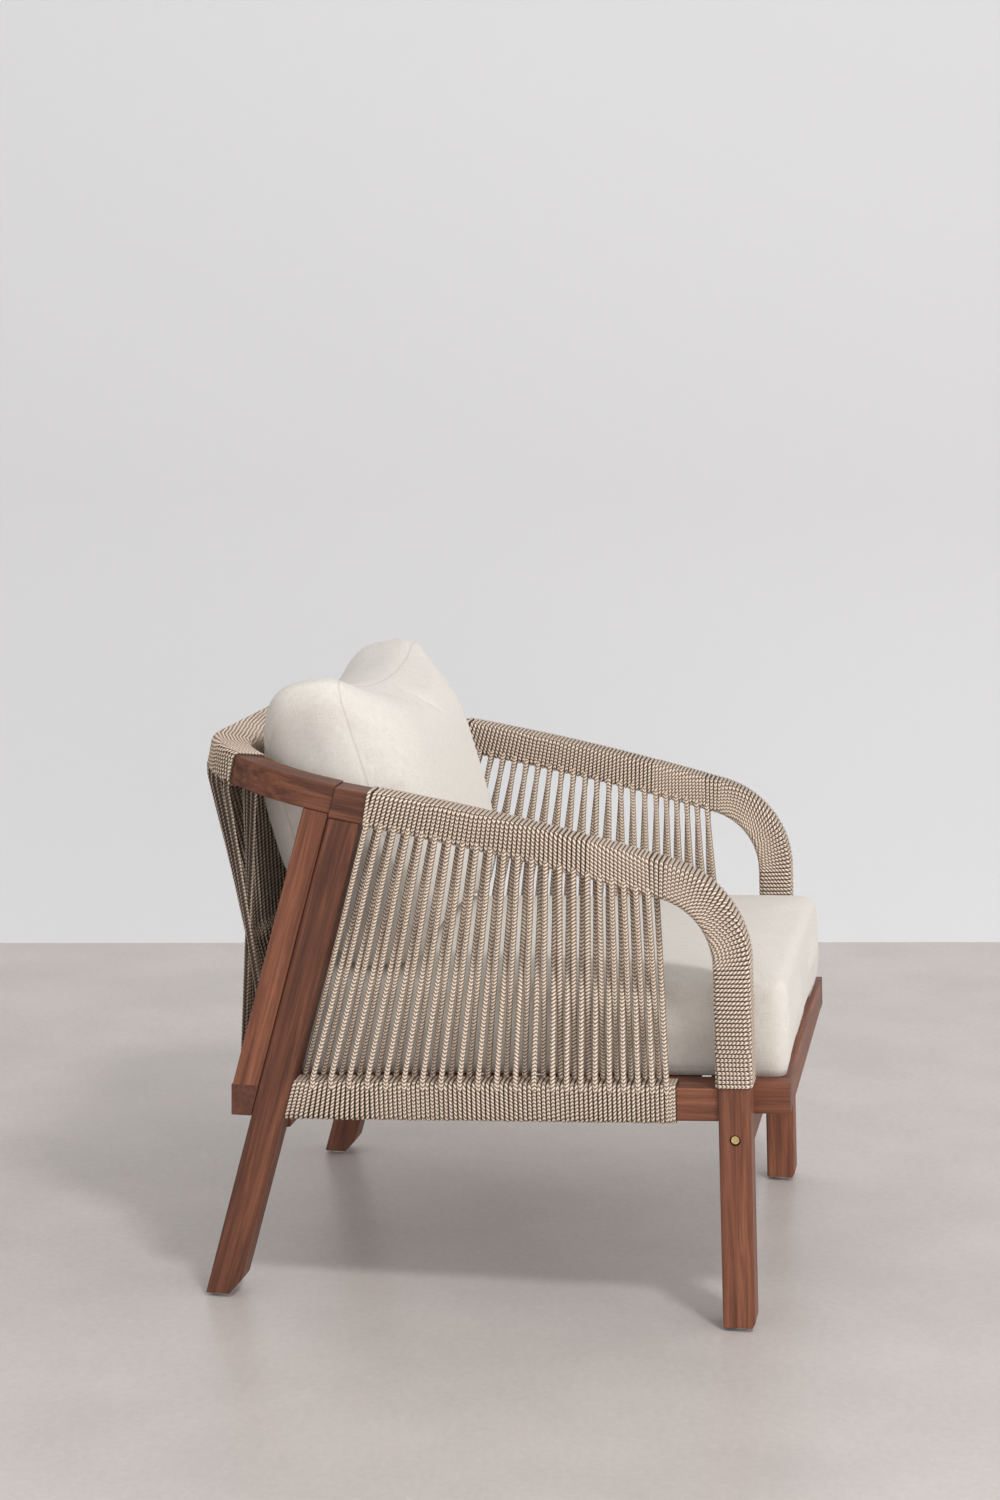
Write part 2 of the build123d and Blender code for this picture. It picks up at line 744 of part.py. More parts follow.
def arm_wrap():
    end = arm_wrap_length - skin_gap
    sleeve = wound_sleeve(arm_section, skin_gap, end, arm_wrap_width, arm_wrap_thick)
    thick = arm_core_thick + 2 * skin_gap
    width = arm_core_width + 2 * skin_gap
    bore = post_bar(thick, width)
    bore += arm_band(post_length, post_length + bend_length, thick, width)
    bore += arm_band(post_length + bend_length, arm_wrap_length, thick, width)
    return sleeve - bore


def side_section(run):
    # square to the rail, then fanning out until the last turn lies along the rear leg
    share = max(0, 1 - (side_rail_end - run) / side_wrap_fan)
    fan = radians(share * (back_lean + seat_tilt))
    heading = fan - radians(seat_tilt)
    origin = deck.from_local_coords((-side_mid, run, -side_rail_drop))
    return Plane(origin=origin, x_dir=(1, 0, 0), z_dir=(0, cos(heading), sin(heading))), 1 / cos(fan)


def side_wrap():
    start, end = side_wrap_front + skin_gap, side_rail_end - skin_gap
    sleeve = wound_sleeve(side_section, start, end, side_wrap_width, side_wrap_height)
    half_x = side_core_width / 2 + skin_gap
    half_z = side_core_height / 2 + skin_gap
    bore = block(
        deck,
        (-side_mid - half_x, -side_mid + half_x),
        (side_wrap_front, side_rail_end + leg_depth),
        (-side_rail_drop - half_z, -side_rail_drop + half_z),
    )
    return sleeve - bore


def rail_path(run):
    # the top rail's middle line in its own plane, from the middle to the left
    reach = abs(run)
    side = -1 if run > 0 else 1
    if reach <= corner_middle:
        return side * reach, rail_middle, 0.0
    turn = (reach - corner_middle) / corner_run
    x = corner_middle + corner_run * sin(turn)
    return side * x, corner_y + corner_run * cos(turn), side * turn


rail_wrap_end = corner_middle + corner_run * radians(back_wrap_turn)


def rail_section(run):
    x, y, turn = rail_path(run)
    along = (-cos(turn), sin(turn), 0)
    outwards = (sin(turn), cos(turn), 0)
    return climb * Plane(origin=(x, y, 0), x_dir=outwards, z_dir=along), 1


def back_top_wrap():
    end = rail_wrap_end - skin_gap
    sleeve = wound_sleeve(rail_section, -end, end, rail_wrap_width, rail_wrap_thick)
    width = rail_core_width + 2 * skin_gap
    thick = rail_core_thick + 2 * skin_gap
    corner = corner_sector(width, thick, 0, back_wrap_turn)
    across = (rail_middle - width / 2, rail_middle + width / 2)
    straight = block(climb, (-corner_middle, corner_middle), across, (-thick / 2, thick / 2))
    return sleeve - (straight + corner + mirrored(corner))


low_middle = ((low_core_span[0] + low_core_span[1]) / 2, sum(low_core_heights) / 2)
low_wrap_depth = low_core_span[1] - low_core_span[0] + 2 * rope_d
low_wrap_height = low_core_heights[1] - low_core_heights[0] + 2 * rope_d


def low_section(run):
    return Plane(origin=(run, *low_middle), x_dir=(0, 1, 0), z_dir=(1, 0, 0)), 1


def back_lower_wrap():
    end = low_wrap_half - skin_gap
    sleeve = wound_sleeve(low_section, -end, end, low_wrap_depth, low_wrap_height)
    span = (low_core_span[0] - skin_gap, low_core_span[1] + skin_gap)
    heights = (low_core_heights[0] - skin_gap, low_core_heights[1] + skin_gap)
    return sleeve - block(Plane.XY, (-low_wrap_half, low_wrap_half), span, heights)


def strand(top, top_normal, foot, foot_normal):
    # one straight strand, six-sided, cut off flush along the surfaces that it runs between
    axis = (foot - top).normalized()
    side = axis.cross(Vector(1, 0, 0)).normalized()
    other = axis.cross(side)
    ends = []
    for point, normal in ((top, top_normal), (foot, foot_normal)):
        corners = []
        for index in range(6):
            angle = index * pi / 3
            offset = side * (rope_d / 2 * cos(angle)) + other * (rope_d / 2 * sin(angle))
            slide = axis * (offset.dot(normal) / axis.dot(normal))
            corners.append(point + offset - slide)
        ends.append(make_face(Polyline(*corners, close=True)))
    return loft(ends, ruled=True, clean=False)


def zoned(start, end, share, wide, part):
    # steps from start to end, wider over the first share of them, which covers a part of the way
    if share <= wide:
        way = share * part / wide
    else:
        way = part + (share - wide) * (1 - part) / (1 - wide)
    return start + (end - start) * way


def strand_top(index):
    share = index / (strand_count - 1)
    rear = arm_wrap_setback - strand_top_gap
    return zoned(rear, strand_top_front, share, strand_top_wide, strand_top_part)


def strand_foot(index):
    share = index / (strand_count - 1)
    rear = seat_depth - strand_foot_gap
    return zoned(rear, strand_foot_front, share, strand_foot_wide, strand_foot_part)


arm_strand_in = arm_wrap_width / 2 - rope_d / 2
side_strand_in = side_wrap_width / 2 - rope_d / 2


def under_arm(setback, x):
    # a point on the underside of the wound arm
    radius = arm_crown_radius - arm_wrap_thick / 2 - skin_gap
    heading = asin((crown_centre[0] - front_y - setback) / radius)
    point = Vector(x, front_y + setback, crown_centre[1] + radius * cos(heading))
    return point, Vector(0, -sin(heading), cos(heading))


def over_side_rail(setback, x):
    rise = side_wrap_height / 2 - side_rail_drop + skin_gap
    return deck.from_local_coords((x, setback, rise)), deck.z_dir


def side_strands(crossing):
    # one of two layers: from the outer edge of the arm to the inner edge of the rail, or the reverse
    strands = []
    for index in range(strand_count):
        top, foot = strand_top(index), strand_foot(index - strand_foot_lead)
        top_x, foot_x = -side_mid - arm_strand_in, -side_mid + side_strand_in
        if crossing:
            top, foot = strand_top(index + strand_top_lag), strand_foot(index)
            top_x, foot_x = -side_mid + arm_strand_in, -side_mid - side_strand_in
        strands.append(strand(*under_arm(top, top_x), *over_side_rail(foot, foot_x)))
    return strands


def under_top_rail(run, out):
    x, y, turn = rail_path(run)
    drop = -rail_wrap_thick / 2 - skin_gap
    point = climb.from_local_coords((x + out * sin(turn), y + out * cos(turn), drop))
    return point, climb.z_dir


def over_low_rail(x, out):
    return Vector(x, low_middle[0] + out, low_middle[1] + low_wrap_height / 2 + skin_gap), Vector(0, 0, 1)


def back_strands(crossing):
    # one of two layers, each crossing the other half a step aside where they pass
    count = back_strand_count - 1 if crossing else back_strand_count
    side = -1 if crossing else 1
    top_out = side * (rail_wrap_width / 2 - rope_d / 2)
    foot_out = side * (low_wrap_depth / 2 - rope_d / 2)
    strands = []
    for index in range(count):
        share = 2 * (index + (0.5 if crossing else 0)) / (back_strand_count - 1) - 1
        run = -share * (rail_wrap_end - back_strand_margin)
        top, normal = under_top_rail(run, top_out)
        top_swing = top_out * cos(rail_path(run)[2]) * climb_cos
        passing = top_swing / (top_swing + foot_out)
        foot_x = (share * back_strand_reach - top.X * (1 - passing)) / passing
        strands.append(strand(top, normal, *over_low_rail(foot_x, -foot_out)))
    return strands


# Cushions
def cushion_outline(width, height, corner, waist):
    # a rectangle with round corners whose sides are drawn in between the corners
    x, y = width / 2, height / 2
    bulge = corner * (1 - cos(pi / 4))
    edges = []
    for sx, sy in ((1, 1), (-1, 1), (-1, -1), (1, -1)):
        side = (sx * (x - corner), sy * y)
        end = (sx * x, sy * (y - corner))
        middle = (sx * (x - bulge), sy * (y - bulge))
        edges.append(ThreePointArc(side, middle, end))
    edges.append(ThreePointArc((x - corner, y), (0, y - waist), (corner - x, y)))
    edges.append(ThreePointArc((-x, y - corner), (waist - x, 0), (-x, corner - y)))
    edges.append(ThreePointArc((corner - x, -y), (0, waist - y), (x - corner, -y)))
    edges.append(ThreePointArc((x, corner - y), (x - waist, 0), (x, y - corner)))
    return make_face(edges)


def cushion(width, height, edge, waist, corner, lower, upper):
    # a filled cushion about its middle plane: sides that swell, edges that roll over, crowned panels;
    # the lower and the upper half are each given as bulge, roll and crown
    half = edge / 2
    levels = [(0, 0, waist)]
    for side, (bulge, roll, crown) in ((-1, lower), (1, upper)):
        rim = bulge + roll
        levels += [
            (side * (half - roll), bulge, waist),
            (side * (half - 0.29 * roll), bulge + 0.29 * roll, waist),
            (side * half, rim, waist),
            (side * (half + 0.45 * crown), rim + 0.06 * height, 0.7 * waist),
            (side * (half + 0.8 * crown), rim + 0.14 * height, 0.5 * waist),
            (side * (half + crown), rim + 0.22 * height, 0.25 * waist),
        ]
    sections = []
    for level, inset, draw in sorted(levels):
        outline = cushion_outline(width - 2 * inset, height - 2 * inset, corner, draw)
        sections.append(Pos(0, 0, level) * outline)
    return loft(sections, ruled=True, clean=False)


def seat_cushion():
    width = 2 * (leg_inner - seat_cushion_side_gap)
    depth = seat_depth - seat_cushion_rear_gap
    lower = (seat_cushion_bulge, seat_cushion_roll, slat_drop)
    upper = (seat_cushion_bulge, seat_cushion_roll, seat_cushion_crown)
    pad = cushion(width, depth, seat_cushion_edge, seat_cushion_waist, seat_cushion_corner, lower, upper)
    return deck * Pos(0, depth / 2, seat_cushion_edge / 2 + cushion_gap) * pad


def back_cushion():
    width = 2 * (leg_inner - back_cushion_side_gap)
    height = back_cushion_height
    lower = (back_cushion_rear_bulge, back_cushion_rear_roll, back_cushion_rear_crown)
    upper = (back_cushion_bulge, back_cushion_roll, back_cushion_crown)
    pad = cushion(width, height, back_cushion_edge, back_cushion_waist, back_cushion_corner, lower, upper)
    turn = radians(back_cushion_lean)
    top = seat_cushion_edge + seat_cushion_crown + cushion_gap - back_cushion_sink
    base = deck.from_local_coords((0, seat_depth - back_cushion_inset, top))
    place = Plane(origin=base, x_dir=(1, 0, 0), z_dir=(0, -cos(turn), sin(turn)))
    return place * Pos(0, height / 2, 0) * pad


def rods_of(ends):
    return [peg(start, end, dowel_d) for start, end in ends]


left_pieces = {
    "front_leg": front_leg,
    "rear_leg": rear_leg,
    "arm_bend": arm_bend,
    "arm_rail": arm_rail,
    "lower_side_rail": lower_side_rail,
    "back_post": back_post,
    "back_rail_corner": back_rail_corner,
    "seat_side_rail": seat_side_rail,
    "seat_ledger": seat_ledger,
    "arm_wrap": arm_wrap,
    "side_wrap": side_wrap,
}

nodes = {}
for name, make in left_pieces.items():
    left = make()
    nodes["left_" + name] = [left]
    nodes["right_" + name] = [mirrored(left)]

for name, crossing in (("outer_strands", False), ("inner_strands", True)):
    left = side_strands(crossing)
    nodes["left_" + name] = left
    nodes["right_" + name] = [mirrored(solid) for solid in left]

nodes["back_top_rail"] = [back_top_rail()]
nodes["back_lower_rail"] = [back_lower_rail()]
nodes["back_top_wrap"] = [back_top_wrap()]
nodes["back_lower_wrap"] = [back_lower_wrap()]
nodes["back_outer_strands"] = back_strands(False)
nodes["back_inner_strands"] = back_strands(True)
nodes["seat_front_rail"] = [seat_cross_rail(seat_rail_width / 2)]
nodes["seat_rear_rail"] = [seat_rear_rail()]
nodes["front_stretcher"] = [front_stretcher()]
nodes["rear_stretcher"] = [rear_stretcher()]
for index in range(slat_count):
    nodes[f"seat_slat_{index + 1}"] = [seat_slat(index)]

for name, left in (
    ("arm_dowels", rods_of(arm_dowels())),
    ("back_dowels", rods_of(back_dowels())),
    ("stretcher_bolts", [socket_bolt(stretcher_bolt_seat, stretcher_bolt_length)]),
    ("barrel_nuts", [barrel_nut()]),
    ("back_bolts", [socket_bolt(seat, back_bolt_length) for seat in back_bolt_seats]),
    ("threaded_inserts", [threaded_insert(seat) for seat in back_bolt_seats]),
    ("seat_screws", [
        seat_screw(front_screw, front_stretcher_height),
        seat_screw(rear_screw, rear_stretcher_height),
    ]),
    ("foot_glides", [foot_glide(front_foot), foot_glide(rear_foot)]),
):
    nodes[name] = left + [mirrored(solid) for solid in left]

nodes["seat_cushion"] = [seat_cushion()]
nodes["back_cushion"] = [back_cushion()]

os.makedirs("parts", exist_ok=True)
for name, pieces in nodes.items():
    solids = [solid for piece in pieces for solid in piece.solids()]
    shape = solids[0] if len(solids) == 1 else Compound(solids)
    export_step(shape, f"parts/{name}.step")
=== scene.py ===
from math import asin, cos, pi, radians, sin, sqrt, tan

import bpy
from mathutils import Matrix, Vector, noise


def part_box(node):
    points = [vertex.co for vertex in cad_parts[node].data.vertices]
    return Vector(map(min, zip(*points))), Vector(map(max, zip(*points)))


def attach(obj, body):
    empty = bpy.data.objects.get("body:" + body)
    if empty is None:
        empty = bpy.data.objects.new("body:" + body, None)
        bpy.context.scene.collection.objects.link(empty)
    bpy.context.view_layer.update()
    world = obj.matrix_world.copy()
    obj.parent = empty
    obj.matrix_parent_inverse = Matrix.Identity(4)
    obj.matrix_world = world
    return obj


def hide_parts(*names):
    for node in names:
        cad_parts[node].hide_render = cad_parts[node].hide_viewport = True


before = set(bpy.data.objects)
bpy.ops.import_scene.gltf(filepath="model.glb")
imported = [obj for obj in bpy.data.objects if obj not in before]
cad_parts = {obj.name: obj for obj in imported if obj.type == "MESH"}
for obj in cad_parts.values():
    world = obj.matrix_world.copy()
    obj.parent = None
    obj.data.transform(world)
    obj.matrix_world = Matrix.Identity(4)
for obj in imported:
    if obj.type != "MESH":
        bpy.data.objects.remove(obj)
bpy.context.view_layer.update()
scene = bpy.context.scene
scene.view_settings.view_transform = "Standard"
print("frame loaded:", len(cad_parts), "nodes")

# Chair sizes in metres and degrees, where the frame's boxes don't give them
chair = {
    "seatHeight": 0.3075,
    "seatTilt": 2.6,
    "seatRail": 0.040,
    "legSetback": 0.065,
    "backLean": 14.15,
    "ropeRadius": 0.003,
}
arm = {
    "shoulder": 0.0045,
    "postTop": 0.460,
    "bendRadius": 0.1115,
    "slope": 14.2,
    "crownRadius": 3.8,
    "wrapSetback": 0.531,
    "coreWidth": 0.045,
    "coreThick": 0.035,
    "postPitch": 0.0055,
    "bendPitch": 0.0049,
    "crownPitch": 0.0058,
    "leanFrom": 0.75,
    "endSlope": 9,
}
sideRail = {
    "drop": 0.018,
    "coreWidth": 0.032,
    "coreHeight": 0.039,
    "wrapFront": 0.137,
    "end": 0.62918,
    "fan": 0.110,
}
sideStrands = {
    "count": 22,
    "topRear": 0.529,
    "topFront": 0.1756,
    "topWide": 0.762,
    "topPart": 0.788,
    "footRear": 0.597,
    "footFront": 0.1485,
    "footWide": 0.619,
    "footPart": 0.683,
    "topLag": 0.28,
    "footLead": 0.75,
    "armTurns": 3,
    "wideSteps": 13,
    "wideTurns": 4,
    "closeTurns": 3,
    "tuck": 0.010,
    # how strongly the sides of the strands that face their neighbours get painted shade
    "shade": 0.74,
}
backRail = {
    "slope": 11,
    "setback": 0.569,
    "height": 0.647,
    "outer": 0.362,
    "width": 0.046,
    "cornerRadius": 0.172,
    "wrapTurn": 47.6,
    "coreWidth": 0.041,
    "coreThick": 0.032,
    "pitch": 0.0058,
}
lowRail = {
    "coreFront": 0.6715,
    "coreRear": 0.698,
    "coreBottom": 0.242,
    "coreTop": 0.2765,
    "half": 0.313,
    "pitch": 0.0058,
}
backStrands = {
    "count": 33,
    "margin": 0.009,
    "reach": 0.297,
    "tuck": 0.008,
    # how strongly the sides of the strands that face their neighbours get painted shade
    "shade": 0.95,
}

ropeRadius = chair["ropeRadius"]
sideMid = sum(corner[0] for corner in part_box("right_arm_bend")) / 2
tiltSin, tiltCos = sin(radians(chair["seatTilt"])), cos(radians(chair["seatTilt"]))
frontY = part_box("seat_front_rail")[0][1] + chair["seatRail"] * tiltSin
climbSin, climbCos = sin(radians(backRail["slope"])), cos(radians(backRail["slope"]))


def deckPoint(x, setback, rise):
    # x across, setback rearwards from the seat's front edge, rise above the seat frame
    return Vector((
        x,
        frontY + setback * tiltCos + rise * tiltSin,
        chair["seatHeight"] - setback * tiltSin + rise * tiltCos,
    ))


# Camera

photoCamera = {
    "place": (-3.948943, -0.626955, 1.234253),
    "yaw": 9.547,
    "pitch": 8.082,
    "roll": 0.743,
    "lens": 72,
}


def makeCamera():
    yaw, pitch, roll = (radians(photoCamera[key]) for key in ("yaw", "pitch", "roll"))
    forward = Vector((cos(yaw) * cos(pitch), sin(yaw) * cos(pitch), -sin(pitch)))
    right = forward.cross(Vector((0, 0, 1))).normalized()
    up = right.cross(forward)
    across = right * cos(roll) + up * sin(roll)
    upright = up * cos(roll) - right * sin(roll)
    data = bpy.data.cameras.new("photoCamera")
    data.lens = photoCamera["lens"]
    data.clip_end = 60
    camera = bpy.data.objects.new("photoCamera", data)
    turn = Matrix((across, upright, -forward)).transposed().to_4x4()
    camera.matrix_world = Matrix.Translation(photoCamera["place"]) @ turn
    scene.collection.objects.link(camera)
    scene.camera = camera


makeCamera()
print("camera placed")


# Node helpers, for shaders and for Geometry Nodes alike

def socketNamed(sockets, name):
    return next(socket for socket in sockets if socket.name == name and socket.enabled)


def addNode(tree, kind, settings=None, **values):
    node = tree.nodes.new(kind)
    for key, value in (settings or {}).items():
        setattr(node, key, value)
    for key, value in values.items():
        if key[0] == "i" and key[1:].isdigit():
            target = node.inputs[int(key[1:])]
        else:
            target = socketNamed(node.inputs, key.replace("_", " "))
        if isinstance(value, bpy.types.NodeSocket):
            tree.links.new(value, target)
        else:
            target.default_value = value
    return node


def mathNode(tree, operation, first, second=0.0, third=0.0, clamp=False):
    settings = {"operation": operation, "use_clamp": clamp}
    return addNode(tree, "ShaderNodeMath", settings, i0=first, i1=second, i2=third).outputs[0]


def vectorNode(tree, operation, first, second=None, scale=None):
    node = addNode(tree, "ShaderNodeVectorMath", {"operation": operation}, i0=first)
    for slot, value in ((1, second), (3, scale)):
        if isinstance(value, bpy.types.NodeSocket):
            tree.links.new(value, node.inputs[slot])
        elif value is not None:
            node.inputs[slot].default_value = value
    return node.outputs[1 if operation in ("DOT_PRODUCT", "LENGTH") else 0]


def noiseNode(tree, spot, scale, detail=2.0, **values):
    return addNode(tree, "ShaderNodeTexNoise", Vector=spot, Scale=scale, Detail=detail, **values).outputs[0]


def mixColour(tree, share, first, second):
    node = tree.nodes.new("ShaderNodeMix")
    node.data_type = "RGBA"
    for slot, value in ((0, share), (6, first), (7, second)):
        if isinstance(value, bpy.types.NodeSocket):
            tree.links.new(value, node.inputs[slot])
        else:
            node.inputs[slot].default_value = value
    return node.outputs[2]


def colour(red, green, blue):
    # 0 to 255 as seen on screen, turned into linear light
    def linear(value):
        value /= 255
        return value / 12.92 if value <= 0.04045 else ((value + 0.055) / 1.055) ** 2.4
    return linear(red), linear(green), linear(blue), 1.0


def ramp(tree, share, stops):
    node = tree.nodes.new("ShaderNodeValToRGB")
    tree.links.new(share, node.inputs[0])
    band = node.color_ramp
    while len(band.elements) < len(stops):
        band.elements.new(0.5)
    for element, (place, tone) in zip(band.elements, stops):
        element.position = place
        element.color = tone
    return node.outputs[0]


def newMaterial(name, **values):
    material = bpy.data.materials.new(name)
    material.use_nodes = True
    tree = material.node_tree
    shader = tree.nodes["Principled BSDF"]
    for key, value in values.items():
        shader.inputs[key.replace("_", " ")].default_value = value
    return material, tree, shader


def bumpInto(tree, shader, height, strength, distance):
    node = addNode(tree, "ShaderNodeBump", Strength=strength, Distance=distance, Height=height)
    tree.links.new(node.outputs[0], shader.inputs["Normal"])


# Finishes

wood = {
    "dark": colour(72, 40, 29),
    "middle": colour(122, 73, 52),
    "light": colour(154, 98, 70),
    "endGrain": colour(70, 42, 33),
    "figureAcross": 120,
    "figureAlong": 5.0,
    "poreAcross": 640,
    "poreAlong": 16,
}


def woodFinish(name, grain, tones=wood):
    # long fibres run along the grain direction, and faces cut across it are darker
    material, tree, shader = newMaterial(name, Roughness=0.5, Specular_IOR_Level=0.35)
    spot = tree.nodes.new("ShaderNodeTexCoord")
    turn = Vector(grain).rotation_difference(Vector((0, 0, 1))).to_euler()
    lined = addNode(tree, "ShaderNodeMapping", Vector=spot.outputs["Object"], Rotation=turn).outputs[0]
    figureScale = (tones["figureAcross"], tones["figureAcross"], tones["figureAlong"])
    poreScale = (tones["poreAcross"], tones["poreAcross"], tones["poreAlong"])
    figureSpot = vectorNode(tree, "MULTIPLY", lined, figureScale)
    poreSpot = vectorNode(tree, "MULTIPLY", lined, poreScale)
    figure = noiseNode(tree, figureSpot, 1.0, 5.0, Roughness=0.62, Distortion=0.6)
    pores = noiseNode(tree, poreSpot, 1.0, 3.0, Roughness=0.6)
    broad = noiseNode(tree, lined, 7.0)
    tone = ramp(tree, figure, ((0.3, tones["dark"]), (0.5, tones["middle"]), (0.68, tones["light"])))
    streak = mathNode(tree, "MULTIPLY", mathNode(tree, "SUBTRACT", pores, 0.5), 2.3)
    tone = mixColour(tree, mathNode(tree, "ABSOLUTE", streak, clamp=True), tone, tones["dark"])
    tone = mixColour(tree, mathNode(tree, "MULTIPLY", broad, 0.3), tone, tones["middle"])
    facing = vectorNode(tree, "DOT_PRODUCT", spot.outputs["Normal"], tuple(Vector(grain).normalized()))
    cut = mathNode(tree, "GREATER_THAN", mathNode(tree, "ABSOLUTE", facing), 0.8)
    tone = mixColour(tree, mathNode(tree, "MULTIPLY", cut, 0.6), tone, tones["endGrain"])
    tree.links.new(tone, shader.inputs["Base Color"])
    rough = mathNode(tree, "MULTIPLY_ADD", figure, 0.2, 0.4)
    tree.links.new(rough, shader.inputs["Roughness"])
    bumpInto(tree, shader, pores, 0.25, 0.0004)
    return material


rope = {
    # gap: painted shade, in the braid's hollows and on the sides of cords that face their neighbours
    "gap": colour(44, 31, 23),
    "body": colour(176, 150, 128),
    # light: painted highlight on the tops of the stitches
    "light": colour(250, 235, 217),
    "stitch": 0.0047,
    "lean": 0.8,
    "drift": 0.5,
    "columns": 2,
}


def ropeFinish():
    # a braid of slanted stitches in columns round the cord, from the cord's own along and round attributes,
    # with painted shade in its hollows and a painted highlight on its stitch tops
    material, tree, shader = newMaterial("braidedRope", Roughness=0.85, Specular_IOR_Level=0.2)
    along = addNode(tree, "ShaderNodeAttribute", {"attribute_name": "ropeAlong"}).outputs["Fac"]
    around = addNode(tree, "ShaderNodeAttribute", {"attribute_name": "ropeRound"}).outputs["Vector"]
    parts = addNode(tree, "ShaderNodeSeparateXYZ", Vector=around)
    angle = mathNode(tree, "ARCTAN2", parts.outputs[1], parts.outputs[0])
    share = mathNode(tree, "MULTIPLY_ADD", angle, rope["columns"] / (2 * pi), 8.0)
    zigzag = mathNode(tree, "MULTIPLY", mathNode(tree, "PINGPONG", share, 0.5), 2.0)
    slant = mathNode(tree, "MULTIPLY", zigzag, rope["lean"])
    spot = tree.nodes.new("ShaderNodeTexCoord")
    drift = noiseNode(tree, spot.outputs["Object"], 45.0)
    phase = mathNode(tree, "MULTIPLY_ADD", along, 1 / rope["stitch"], slant)
    phase = mathNode(tree, "MULTIPLY_ADD", drift, rope["drift"], phase)
    wave = mathNode(tree, "ABSOLUTE", mathNode(tree, "SINE", mathNode(tree, "MULTIPLY", phase, pi)))
    stitch = mathNode(tree, "POWER", wave, 0.9)
    edge = mathNode(tree, "ABSOLUTE", mathNode(tree, "MULTIPLY_ADD", zigzag, 2.0, -1.0))
    valley = mathNode(tree, "POWER", edge, 6.0)
    height = mathNode(tree, "MULTIPLY", stitch, mathNode(tree, "MULTIPLY_ADD", valley, -0.3, 1.0))
    fleck = noiseNode(tree, spot.outputs["Object"], 900.0)
    broad = noiseNode(tree, spot.outputs["Object"], 14.0)
    # painted shade and painted highlight: the tone runs from the gap colour in the braid's hollows and the
    # grooves between its columns to the light colour on the stitch tops
    tone = ramp(tree, height, ((0.15, rope["gap"]), (0.6, rope["body"]), (1.0, rope["light"])))
    tone = mixColour(tree, mathNode(tree, "MULTIPLY", fleck, 0.2), tone, rope["body"])
    tone = mixColour(tree, mathNode(tree, "MULTIPLY", broad, 0.12), tone, rope["light"])
    # painted shade: the sides of a cord that face its neighbours are darkened towards the gap colour, where
    # the shade between them falls
    beside = addNode(tree, "ShaderNodeAttribute", {"attribute_name": "ropeShadedSide"}).outputs["Vector"]
    facing = mathNode(tree, "ABSOLUTE", vectorNode(tree, "DOT_PRODUCT", spot.outputs["Normal"], beside))
    besideShade = mathNode(tree, "MULTIPLY_ADD", facing, 2.6, -1.3, clamp=True)
    tone = mixColour(tree, mathNode(tree, "MULTIPLY", besideShade, 0.9), tone, rope["gap"])
    tree.links.new(tone, shader.inputs["Base Color"])
    bumpInto(tree, shader, height, 0.7, 0.0009)
    return material


cloth = {
    "thread": colour(218, 213, 205),
    "shade": colour(203, 196, 186),
    # seam: painted shade along the seams
    "seam": colour(194, 187, 176),
    "seamShadeWidth": 0.0017,
    "weave": 0.0011,
    "slubAcross": 1400,
    "slubAlong": 60,
}


def clothFinish():
    # a plain weave on the cushion's own flat map, with uneven threads
    material, tree, shader = newMaterial(
        "cushionCloth", Roughness=0.9, Specular_IOR_Level=0.15, Sheen_Weight=0.12
    )
    flat = addNode(tree, "ShaderNodeUVMap", {"uv_map": "clothMap"}).outputs[0]
    threads = vectorNode(tree, "SCALE", flat, scale=pi / cloth["weave"])
    parts = addNode(tree, "ShaderNodeSeparateXYZ", Vector=threads)
    weave = mathNode(
        tree, "MULTIPLY", mathNode(tree, "SINE", parts.outputs[0]), mathNode(tree, "SINE", parts.outputs[1])
    )
    across, length = cloth["slubAcross"], cloth["slubAlong"]
    warp, weft = (
        noiseNode(tree, vectorNode(tree, "MULTIPLY", flat, (*scales, 1)), 1.0)
        for scales in ((across, length), (length, across))
    )
    slub = mathNode(tree, "MULTIPLY", warp, weft)
    tone = ramp(tree, slub, ((0.12, cloth["shade"]), (0.34, cloth["thread"])))
    # painted shade: a thin darker line where two panels meet, along the sunk seam
    seamGap = addNode(tree, "ShaderNodeAttribute", {"attribute_name": "seamGap"}).outputs["Fac"]
    sewn = mathNode(tree, "MULTIPLY_ADD", seamGap, -1 / cloth["seamShadeWidth"], 1.0, clamp=True)
    tone = mixColour(tree, sewn, tone, cloth["seam"])
    tree.links.new(tone, shader.inputs["Base Color"])
    height = mathNode(tree, "MULTIPLY_ADD", weave, 0.35, slub)
    bumpInto(tree, shader, height, 0.25, 0.0004)
    return material


def stainedFinish(name, scale, detail, dark, light, roughness=None, **values):
    # metal or plastic with a fine uneven tone, and a roughness from least to most where it is given
    material, tree, shader = newMaterial(name, **values)
    spot = tree.nodes.new("ShaderNodeTexCoord").outputs["Object"]
    stain = noiseNode(tree, spot, scale, detail)
    tone = ramp(tree, stain, ((0.3, colour(*dark)), (0.7, colour(*light))))
    tree.links.new(tone, shader.inputs["Base Color"])
    if roughness:
        least, most = roughness
        tree.links.new(mathNode(tree, "MULTIPLY_ADD", stain, most - least, least), shader.inputs["Roughness"])
    return material


